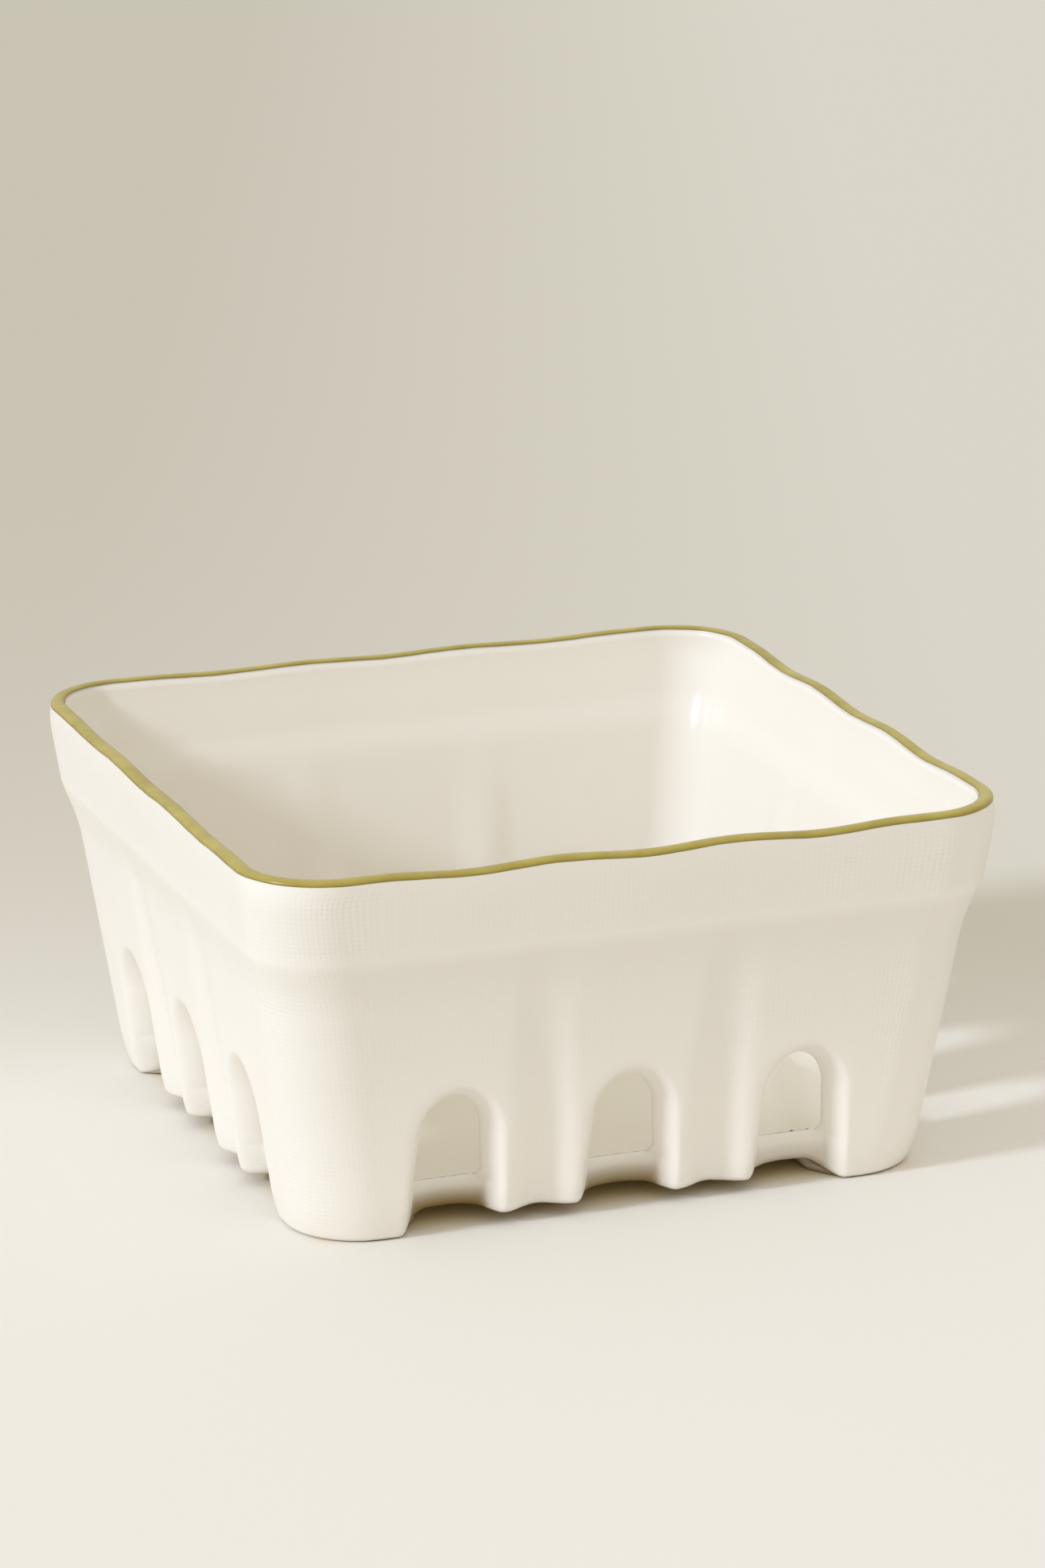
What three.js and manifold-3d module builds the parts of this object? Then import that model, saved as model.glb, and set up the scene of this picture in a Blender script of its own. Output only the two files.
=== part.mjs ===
// Square slip-cast fruit basket: a stoneware casting with arched openings round its foot, a gloss lining
// glaze inside and an olive glaze band on the lip.
// Millimetres, +Z up. The origin lies on the table under the middle of the basket.

import * as THREE from 'three';
import { mergeVertices } from 'three/addons/utils/BufferGeometryUtils.js';
import Module from 'manifold-3d';

// Overall form: half widths are measured on the flats of the square plan.
const HEIGHT = 94;
const LIP_HALF = 95.5;
const FOOT_HALF = 80.5;
const CORNER_RADIUS = 18;
const LIP_CORNER_RADIUS = 20.8;

// Soft ends of the wall: it draws in a little under the lip and at the table.
const LIP_EASE = 0.5;
const LIP_EASE_HEIGHT = 8;
const FOOT_EASE = 1;
const FOOT_EASE_HEIGHT = 10;

// Collar: a soft step below the upright band under the lip, with its tighter edge on top.
const COLLAR_STEP = 2;
const STEP_LOW = 58;
const STEP_HIGH = 74;

// Wall and floor, measured over the lining glaze.
const LIP_THICKNESS = 3.8;
const FOOT_THICKNESS = 9;
const FLOOR_TOP = 10;
const FLOOR_UNDERSIDE = 4.4;
const FLOOR_FILLET = 6;

// Lip: it dips above each arch and rises between them and at the corners.
const LIP_WAVE = 0.5;

// Arches: three to a side, each a hole under a half ellipse, with splayed sides and a rolled edge that
// widens towards the outside.
const ARCHES_PER_SIDE = 3;
const ARCH_PITCH = 44;
const ARCH_HALF_WIDTH = 7.7;
const ARCH_TOP = 34;
const CROWN_RISE = 10;
const SPLAY_WIDTH = 2.2;
const ROLL_WIDTH = 4.6;
const ROLL_DEPTH = 6.6;
const SILL_TOP = 11;
const SILL_ROUND = 2;

// Flutes: one upright hollow between each two arches, deepest at the bottom.
const FLUTE_HALF_WIDTH = 9;
const FLUTE_DEPTH = 3.6;
const RIB_SHARE = 0.6;

// Feet: only the four corners reach the table.
const FOOT_ROUND = 1.5;
const FOOT_INNER_RADIUS = 6;
const PIER_LIFT = 2.8;

// Glazes: coats of one thickness, with a small clearance to the casting.
const GLAZE_THICKNESS = 0.6;
const GLAZE_CLEARANCE = 0.3;
const BAND_DROP = 1.3;
const GLAZE_SETBACK = 0.8;

// Roundness of the roll's and the lip's profiles: 2 is an ellipse, less is flatter, more is squarer.
const ROLL_POWER = 1.5;
const LIP_POWER = 2.6;

// Facets
const CORNER_STEPS = 5;
const ARCH_STEPS = 8;
const ROLL_ANGLES = [14, 34, 56, 76, 90];
const LIP_STEPS = 4;
const FILLET_STEPS = 3;
const FOOT_STEPS = 3;
const FLUTE_STATIONS = [-1, -0.5, 0, 0.5, 1];
const SIDES = 4;
const CUT_MARGIN = 5;

// Worked out from the sizes above
const TAPER = (LIP_HALF - FOOT_HALF - COLLAR_STEP) / HEIGHT;
const LIP_BASE = HEIGHT - BAND_DROP;
const COLLAR_TOP = HEIGHT - LIP_EASE_HEIGHT;
const COAT = GLAZE_THICKNESS + GLAZE_CLEARANCE;
const ARCH_SPRING = ARCH_TOP - CROWN_RISE;
const ARCH_CENTRES = Array.from(
  { length: ARCHES_PER_SIDE },
  (_, i) => (i - (ARCHES_PER_SIDE - 1) / 2) * ARCH_PITCH,
);
const FLUTE_CENTRES = ARCH_CENTRES.slice(1).map((centre) => centre - ARCH_PITCH / 2);
const OUTER_ARCH = ARCH_CENTRES[ARCHES_PER_SIDE - 1];
const FOOT_START = OUTER_ARCH + ARCH_HALF_WIDTH + 1;
const UNDERSIDE_REACH = FOOT_HALF + TAPER * FLOOR_UNDERSIDE - ROLL_DEPTH + 1;

const { clamp, degToRad, lerp } = THREE.MathUtils;

const wasm = await Module();
wasm.setup();

// Half width of the outside at a height.
function outerHalf(z) {
  const share = clamp((z - STEP_LOW) / (STEP_HIGH - STEP_LOW), 0, 1);
  const step = COLLAR_STEP * (1 - (1 - share ** 2.4) ** 1.6);
  const top = LIP_EASE * clamp((z - COLLAR_TOP) / LIP_EASE_HEIGHT, 0, 1) ** 2;
  const foot = FOOT_EASE * clamp(1 - z / FOOT_EASE_HEIGHT, 0, 1) ** 2;
  return FOOT_HALF + TAPER * z + step - top - foot;
}

// Radius of the plan's corners at a height: even up the wall, larger in the lip.
function cornerRadius(z) {
  const share = clamp((z - COLLAR_TOP) / (LIP_BASE - COLLAR_TOP), 0, 1);
  return lerp(CORNER_RADIUS, LIP_CORNER_RADIUS, share ** 2);
}

// Place on a quarter of a superellipse: cosine and sine of an angle, each bent by its power, sign kept.
function bentCircle(angle, power) {
  const bend = (value) => Math.sign(value) * Math.abs(value) ** (2 / power);
  return { cos: bend(Math.cos(angle)), sin: bend(Math.sin(angle)) };
}

// Wall thickness at a height, from the lip down to the foot.
function thickness(z) {
  return lerp(FOOT_THICKNESS, LIP_THICKNESS, clamp(z / LIP_BASE, 0, 1));
}

// Depth of the flutes at a height. They run out at the top of the collar step.
function fluteDepth(z) {
  return FLUTE_DEPTH * Math.max(0, 1 - z / STEP_HIGH);
}

// How far the flutes draw the wall in at a place along a side, from 0 to 1.
function fluteShape(s) {
  const away = Math.min(...FLUTE_CENTRES.map((centre) => Math.abs(s - centre)));
  return away < FLUTE_HALF_WIDTH ? (1 + Math.cos((Math.PI * away) / FLUTE_HALF_WIDTH)) / 2 : 0;
}

// Rise and fall of the lip at a place along a side, fading out down the collar.
function lipWave(s, z) {
  const share = clamp((z - STEP_HIGH) / (HEIGHT - STEP_HIGH), 0, 1);
  const along = Math.min(Math.abs(s), OUTER_ARCH + ARCH_PITCH / 2);
  const phase = (2 * Math.PI * (along - OUTER_ARCH)) / ARCH_PITCH;
  return -LIP_WAVE * share * Math.cos(phase);
}

// One level ring of the plan: a rounded square whose sides carry the flutes.
// The inset is measured from the outside of the wall, and the corners stay concentric with it.
function planRing({ z, inset = 0, flute = 1 }) {
  const half = outerHalf(z) - inset;
  const radius = Math.max(cornerRadius(z) - inset, 1);
  const straight = half - radius;
  const depth = flute * fluteDepth(z);
  const stations = [-straight, straight, ...ARCH_CENTRES];
  for (const centre of FLUTE_CENTRES) {
    stations.push(...FLUTE_STATIONS.map((share) => centre + share * FLUTE_HALF_WIDTH));
  }
  stations.sort((a, b) => a - b);
  const points = [];
  for (let side = 0; side < SIDES; side += 1) {
    const turn = (side * Math.PI) / 2;
    const add = (x, y, s) => {
      const point = new THREE.Vector3(x, y, z + lipWave(s, z));
      points.push(point.applyAxisAngle(new THREE.Vector3(0, 0, 1), turn));
    };
    for (const s of stations) {
      add(s, -half + depth * fluteShape(s), s);
    }
    for (let i = 1; i < CORNER_STEPS; i += 1) {
      const angle = ((i / CORNER_STEPS - 1) * Math.PI) / 2;
      add(straight + radius * Math.cos(angle), -straight + radius * Math.sin(angle), half);
    }
  }
  return points;
}

// Skin a row of rings. The ends are capped by fans, or the last ring joins the first.
function loft(rings, joined = false) {
  const count = rings[0].length;
  const positions = rings.flat().flatMap((point) => point.toArray());
  const indices = [];
  const rows = joined ? rings.length : rings.length - 1;
  for (let i = 0; i < rows; i += 1) {
    const low = i * count;
    const high = ((i + 1) % rings.length) * count;
    for (let j = 0; j < count; j += 1) {
      const next = (j + 1) % count;
      indices.push(low + j, low + next, high + next);
      indices.push(low + j, high + next, high + j);
    }
  }
  if (!joined) {
    const cap = (ring, start, flip) => {
      const middle = ring.reduce((sum, point) => sum.add(point), new THREE.Vector3());
      const apex = positions.length / 3;
      positions.push(...middle.divideScalar(count).toArray());
      for (let j = 0; j < count; j += 1) {
        const next = (j + 1) % count;
        indices.push(apex, start + (flip ? next : j), start + (flip ? j : next));
      }
    };
    cap(rings[0], 0, true);
    cap(rings[rings.length - 1], (rings.length - 1) * count, false);
  }
  const geometry = new THREE.BufferGeometry();
  geometry.setAttribute('position', new THREE.Float32BufferAttribute(positions, 3));
  geometry.setIndex(indices);
  return geometry;
}

// A closed geometry as a solid for cutting and joining.
function toSolid(geometry) {
  const plain = geometry.clone();
  plain.deleteAttribute('normal');
  plain.deleteAttribute('uv');
  const merged = mergeVertices(plain, 1e-4);
  const vertProperties = new Float32Array(merged.attributes.position.array);
  const triVerts = new Uint32Array(merged.index.array);
  return new wasm.Manifold(new wasm.Mesh({ numProp: 3, vertProperties, triVerts }));
}

// A solid back as a geometry with its normals.
function toGeometry(solid) {
  const { vertProperties, triVerts } = solid.getMesh();
  const geometry = new THREE.BufferGeometry();
  geometry.setAttribute('position', new THREE.BufferAttribute(vertProperties, 3));
  geometry.setIndex(new THREE.BufferAttribute(triVerts, 1));
  geometry.computeVertexNormals();
  return geometry;
}

// Rings of the lip's rounded crown from the outside over to the inside, sunk by a depth below its surface.
function crownRings(depth) {
  const reach = LIP_THICKNESS / 2 - depth;
  return Array.from({ length: LIP_STEPS + 1 }, (_, i) => {
    const { cos, sin } = bentCircle((i / LIP_STEPS) * Math.PI, LIP_POWER);
    const z = LIP_BASE + (BAND_DROP - depth) * sin;
    return planRing({ z, inset: LIP_THICKNESS / 2 - reach * cos, flute: 0 });
  });
}

// Rings down the inside from below the lip band to the edge of the floor, sunk by a depth below its surface.
function insideRings(depth) {
  const top = LIP_BASE - GLAZE_CLEARANCE;
  const bend = FLOOR_TOP + FLOOR_FILLET;
  const steps = [1, 0.7, 0.5, 0.3, 0].map((share) => lerp(STEP_LOW, STEP_HIGH, share));
  const heights = [top, COLLAR_TOP, ...steps, lerp(bend, STEP_LOW, 0.5)];
  const rings = heights.map((z) => planRing({ z, inset: thickness(z) - depth, flute: RIB_SHARE }));
  const reach = FLOOR_FILLET + depth;
  for (let i = 0; i <= FILLET_STEPS; i += 1) {
    const angle = ((i / FILLET_STEPS) * Math.PI) / 2;
    const z = bend - reach * Math.sin(angle);
    const half = outerHalf(bend) - thickness(bend) - FLOOR_FILLET + reach * Math.cos(angle);
    rings.push(planRing({ z, inset: outerHalf(z) - half, flute: RIB_SHARE * Math.cos(angle) }));
  }
  return rings;
}

// Rings up the outside from the rounded bottom edge to the shoulder under the lip band.
function outsideRings() {
  const rings = [];
  for (let i = 0; i <= FOOT_STEPS; i += 1) {
    const angle = ((i / FOOT_STEPS) * Math.PI) / 2;
    const z = FOOT_ROUND * (1 - Math.cos(angle));
    rings.push(planRing({ z, inset: FOOT_ROUND * (1 - Math.sin(angle)) }));
  }
  const ease = [0.45, 1].map((share) => lerp(FOOT_ROUND, FOOT_EASE_HEIGHT, share));
  const step = [0, 0.25, 0.5, 0.75, 1].map((share) => lerp(STEP_LOW, STEP_HIGH, share));
  const shoulder = LIP_BASE - GLAZE_CLEARANCE;
  for (const z of [...ease, lerp(FOOT_EASE_HEIGHT, STEP_LOW, 0.5), ...step, COLLAR_TOP, shoulder]) {
    rings.push(planRing({ z }));
  }
  rings.push(planRing({ z: shoulder, inset: COAT }));
  return rings;
}

// Arch outline in the plane of a wall, from the left foot over the crown to the right foot, at one depth
// below the outside of the wall. The grow value sets the outline back from the edge of the hole. The sides
// splay towards the table, the hole's own sides more than the outer edge of the roll.
function archOutline(centre, grow, depth, bottom) {
  const half = ARCH_HALF_WIDTH + grow;
  const rise = CROWN_RISE + grow;
  const place = (s, z) => new THREE.Vector3(centre + s, depth - outerHalf(z), z);
  const splay = SPLAY_WIDTH * (1 - bottom / ARCH_SPRING) * (1 - (0.5 * grow) / ROLL_WIDTH);
  const points = [place(-half - splay, bottom)];
  for (let i = 0; i <= ARCH_STEPS; i += 1) {
    const angle = Math.PI * (1 - i / ARCH_STEPS);
    points.push(place(half * Math.cos(angle), ARCH_SPRING + rise * Math.sin(angle)));
  }
  points.push(place(half + splay, bottom));
  return points;
}

// The rolled mouth of one arch: a rounded slope from the wall's face to the hole, open below.
function archMouth(centre) {
  const sections = ROLL_ANGLES.map((degrees) => {
    const { cos, sin } = bentCircle(degToRad(degrees), ROLL_POWER);
    return { grow: ROLL_WIDTH * (1 - sin), depth: ROLL_DEPTH * (1 - cos) };
  });
  const [first, second] = sections;
  const slope = (first.grow - second.grow) / (second.depth - first.depth);
  const lead = first.depth + 1;
  sections.unshift({ grow: first.grow + slope * lead, depth: first.depth - lead });
  return loft(sections.map(({ grow, depth }) => archOutline(centre, grow, depth, -CUT_MARGIN)));
}

// The hole of one arch through the wall, above a sill with an eased outer edge.
function archHole(centre, grow = 0) {
  const sill = SILL_TOP - grow;
  const clear = ROLL_DEPTH + FOOT_THICKNESS + FLOOR_FILLET + CUT_MARGIN;
  const sections = [
    { depth: ROLL_DEPTH - 1, bottom: sill - SILL_ROUND },
    { depth: ROLL_DEPTH, bottom: sill - SILL_ROUND },
    { depth: ROLL_DEPTH + 0.3 * SILL_ROUND, bottom: sill - 0.3 * SILL_ROUND },
    { depth: ROLL_DEPTH + SILL_ROUND, bottom: sill },
    { depth: clear, bottom: sill },
  ];
  return loft(sections.map(({ depth, bottom }) => archOutline(centre, grow, depth, bottom)));
}

// A cut for each arch on all four sides, joined in one solid.
function archPattern(makeCut) {
  let pattern = null;
  for (let side = 0; side < SIDES; side += 1) {
    for (const centre of ARCH_CENTRES) {
      const cut = toSolid(makeCut(centre).rotateZ((side * Math.PI) / 2));
      pattern = pattern ? pattern.add(cut) : cut;
    }
  }
  return pattern;
}

// Cross-shaped cut under the basket that leaves the four corner feet, up to a height.
function crossCut(reach, top) {
  const inner = FOOT_START;
  const bend = inner + FOOT_INNER_RADIUS;
  const shape = new THREE.Shape();
  for (let side = 0; side < SIDES; side += 1) {
    const turn = (side * Math.PI) / 2;
    const corner = new THREE.Vector2(bend, -bend).rotateAround(new THREE.Vector2(), turn);
    const [left, right] = [-inner, inner].map((x) => {
      return new THREE.Vector2(x, -reach).rotateAround(new THREE.Vector2(), turn);
    });
    if (side === 0) {
      shape.moveTo(left.x, left.y);
    } else {
      shape.lineTo(left.x, left.y);
    }
    shape.lineTo(right.x, right.y);
    shape.absarc(corner.x, corner.y, FOOT_INNER_RADIUS, turn + Math.PI, turn + Math.PI / 2, true);
  }
  const options = { depth: top + CUT_MARGIN, bevelEnabled: false, curveSegments: 3 };
  return new THREE.ExtrudeGeometry(shape, options).translate(0, 0, -CUT_MARGIN);
}

// The casting: one lofted vessel, cut by the arches and hollowed under the floor.
function makeStonewareBody() {
  const rings = [...outsideRings(), ...crownRings(COAT), ...insideRings(COAT)];
  return toGeometry(
    toSolid(loft(rings))
      .subtract(archPattern(archMouth))
      .subtract(archPattern(archHole))
      .subtract(toSolid(crossCut(LIP_HALF + CUT_MARGIN, PIER_LIFT)))
      .subtract(toSolid(crossCut(UNDERSIDE_REACH, FLOOR_UNDERSIDE))),
  );
}

// The lining glaze: a thin coat over floor and walls, set back from the edge of each arch.
function makeLinerGlaze() {
  const rings = [...insideRings(GLAZE_THICKNESS).reverse(), ...insideRings(0)];
  return toGeometry(toSolid(loft(rings)).subtract(archPattern((centre) => archHole(centre, GLAZE_SETBACK))));
}

// The olive band: a coat that saddles the crown of the lip.
function makeRimGlazeBand() {
  return loft([...crownRings(0), ...crownRings(GLAZE_THICKNESS).reverse()], true);
}

function namedMesh(name, geometry, color, roughness) {
  const material = new THREE.MeshStandardMaterial({ color, roughness, metalness: 0 });
  const mesh = new THREE.Mesh(geometry, material);
  mesh.name = name;
  return mesh;
}

const basket = new THREE.Group();
basket.add(namedMesh('stoneware_body', makeStonewareBody(), '#efe9dd', 0.5));
basket.add(namedMesh('liner_glaze', makeLinerGlaze(), '#f3efe5', 0.15));
basket.add(namedMesh('rim_glaze_band', makeRimGlazeBand(), '#a99e52', 0.3));

export default basket;
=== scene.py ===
"""Studio scene of a square ceramic fruit basket.

The basket is a slip-cast stoneware casting with a linen print on its outside, a gloss lining glaze and an
olive glaze band on its lip. All sizes are in millimetres until a mesh is written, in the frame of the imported
model: +Z up, origin on the table under the middle of the basket.
"""

import logging
from dataclasses import dataclass
from enum import Enum
from math import cos, pi, radians, sin
from typing import Any

import bpy
import numpy as np
from mathutils import Matrix, Vector


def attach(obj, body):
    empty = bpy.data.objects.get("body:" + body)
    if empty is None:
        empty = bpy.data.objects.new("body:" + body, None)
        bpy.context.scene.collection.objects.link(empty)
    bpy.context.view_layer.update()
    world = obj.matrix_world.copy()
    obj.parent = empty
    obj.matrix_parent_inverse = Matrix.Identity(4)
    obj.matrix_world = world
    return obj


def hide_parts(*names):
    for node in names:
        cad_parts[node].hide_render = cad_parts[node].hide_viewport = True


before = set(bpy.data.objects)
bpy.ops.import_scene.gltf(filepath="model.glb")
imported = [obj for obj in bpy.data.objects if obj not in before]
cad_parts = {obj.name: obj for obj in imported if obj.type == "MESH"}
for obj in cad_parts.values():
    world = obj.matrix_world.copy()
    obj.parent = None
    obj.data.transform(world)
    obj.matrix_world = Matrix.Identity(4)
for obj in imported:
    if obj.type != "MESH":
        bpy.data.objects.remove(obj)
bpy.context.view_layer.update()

LOG = logging.getLogger("basket")
MM = 0.001
SIDES = 4
BODY = "root"
WELD_MM = 0.002
SHARP_DEGREES = 55.0
CORNER_STEPS = 24

Array = np.ndarray


class Slot(Enum):
    """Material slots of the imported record, which are also the names of its nodes."""

    STONEWARE = "stoneware_body"
    LINER = "liner_glaze"
    RIM = "rim_glaze_band"


class Mask(Enum):
    """Painted values that the finishes read, one number for each vertex."""

    WEAVE = "weave_strength"
    # BARE also carries painted shade on the casting's sills and underside.
    BARE = "bare_clay"
    # EDGE also carries painted highlights and painted bounce light on the casting.
    EDGE = "glaze_edge_and_painted_light"


def even(low: float, high: float, x: Array) -> Array:
    """Even step: 0 up to low, 1 from high on, straight between them."""
    return np.clip((np.asarray(x, float) - low) / (high - low), 0.0, 1.0)


def smooth(low: float, high: float, x: Array) -> Array:
    """Smooth step: 0 up to low, 1 from high on, 3k^2 - 2k^3 between them, with k the even step.

    Args:
        low: Where the step starts.
        high: Where the step ends. It may lie below low, which turns the step round.
        x: Values to read the step at.

    Returns:
        The step at each value.
    """
    k = even(low, high, x)
    return k * k * (3.0 - 2.0 * k)


def ripple(t: Array, wavelength: float, seed: int) -> Array:
    """Small irregular wave along a line: a sum of five sines with seeded phases.

    Args:
        t: Places along the line.
        wavelength: Length of the longest sine.
        seed: Number that fixes the phases.

    Returns:
        A wave between about -1 and 1.
    """
    rates, highest = np.array([1.0, 1.7, 2.9, 4.3, 6.1]), 2.2
    phases = np.random.default_rng(seed).uniform(0.0, 2.0 * pi, len(rates))
    waves = np.sin(2.0 * pi * np.asarray(t, float)[..., None] * rates / wavelength + phases)
    return (waves / np.sqrt(rates)).sum(-1) / highest


@dataclass
class Sheet:
    """One grid of points, rows by columns, with the values painted on it.

    Attributes:
        points: Places, rows x columns x 3, in millimetres.
        weave: Strength of the linen print.
        bare: Share of the clay colour: unglazed clay on the bottom edges and the underside's pads, painted
            shade on the sills and the underside's slopes.
        edge: Share of painted highlight and painted bounce light on the casting, of thin glaze on the lining
            and of pooling glaze on the band.
        print_uv: Place on the linen print, rows x columns x 2, in millimetres.
        wrap: Whether the last column joins the first.
        flip: Whether the faces turn over.
    """

    points: Array
    weave: Array | float = 0.0
    bare: Array | float = 0.0
    edge: Array | float = 0.0
    print_uv: Array | None = None
    wrap: bool = False
    flip: bool = False

    def quads(self) -> Array:
        """Numbers the grid's points row by row and joins each four neighbours.

        Returns:
            Corner numbers of the faces, faces x 4.
        """
        rows, cols = self.points.shape[:2]
        number = np.arange(rows * cols).reshape(rows, cols)
        if self.wrap:
            number = np.concatenate([number, number[:, :1]], axis=1)
        quads = np.stack([number[:-1, :-1], number[:-1, 1:], number[1:, 1:], number[1:, :-1]], -1)
        quads = quads.reshape(-1, 4)
        return quads[:, ::-1] if self.flip else quads

    def column(self, values: Array | float) -> Array:
        """A painted value as one number for each point."""
        return np.broadcast_to(values, self.points.shape[:2]).ravel().astype(float)


@dataclass
class Skin:
    """Sheets that are sewn into one mesh along their shared edges."""

    name: str
    sheets: list[Sheet]

    def to_object(self) -> bpy.types.Object:
        """Welds the sheets and makes the Blender object.

        Points closer than the weld become one, and faces that lose corners become triangles or vanish.

        Returns:
            The object, linked to the scene, at the origin.
        """
        points = np.concatenate([s.points.reshape(-1, 3) for s in self.sheets])
        starts = np.cumsum([0] + [s.points.shape[0] * s.points.shape[1] for s in self.sheets[:-1]])
        quads = np.concatenate([s.quads() + start for s, start in zip(self.sheets, starts)])
        keys = np.round(points / WELD_MM).astype(np.int64)
        _, first, inverse = np.unique(keys, axis=0, return_index=True, return_inverse=True)
        inverse, points = inverse.reshape(-1), points[first]
        same = inverse[quads] == np.roll(inverse[quads], -1, axis=1)
        whole = quads[~same.any(1)]
        pinched = quads[same.sum(1) == 1]
        at = same[same.sum(1) == 1].argmax(1)[:, None]
        triangles = np.take_along_axis(pinched, (at + 1 + np.arange(3)) % 4, axis=1)
        corners = np.concatenate([whole.ravel(), triangles.ravel()])

        mesh = bpy.data.meshes.new(self.name)
        mesh.vertices.add(len(points))
        mesh.vertices.foreach_set("co", (points * MM).astype(np.float32).ravel())
        mesh.loops.add(len(corners))
        mesh.loops.foreach_set("vertex_index", inverse[corners].astype(np.int32))
        sizes = np.concatenate([np.full(len(whole), 4), np.full(len(triangles), 3)]).astype(np.int32)
        mesh.polygons.add(len(sizes))
        loop_starts = np.concatenate([[0], np.cumsum(sizes)[:-1]])
        mesh.polygons.foreach_set("loop_start", loop_starts.astype(np.int32))
        mesh.polygons.foreach_set("loop_total", sizes)
        mesh.polygons.foreach_set("use_smooth", np.ones(len(sizes), bool))
        self._paint(mesh, first, corners)
        mesh.update(calc_edges=True)
        mesh.validate()
        mesh.set_sharp_from_angle(angle=radians(SHARP_DEGREES))
        piece = bpy.data.objects.new(self.name, mesh)
        bpy.context.scene.collection.objects.link(piece)
        return piece

    def _paint(self, mesh: bpy.types.Mesh, first: Array, corners: Array) -> None:
        """Writes the painted values and the print's UV map.

        Args:
            mesh: Mesh to write to.
            first: For each welded point, the number of the sheet point that it came from.
            corners: For each face corner, the number of its sheet point.
        """
        for mask, name in ((Mask.WEAVE, "weave"), (Mask.BARE, "bare"), (Mask.EDGE, "edge")):
            values = np.concatenate([s.column(getattr(s, name)) for s in self.sheets])[first]
            layer = mesh.attributes.new(mask.value, "FLOAT", "POINT")
            layer.data.foreach_set("value", values.astype(np.float32))
        blank = [np.zeros((s.points[..., 0].size, 2)) for s in self.sheets]
        places = [b if s.print_uv is None else s.print_uv.reshape(-1, 2) for s, b in zip(self.sheets, blank)]
        places = np.concatenate(places)[corners] * MM
        layer = mesh.uv_layers.new(name="print")
        layer.data.foreach_set("uv", places.astype(np.float32).ravel())


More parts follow.
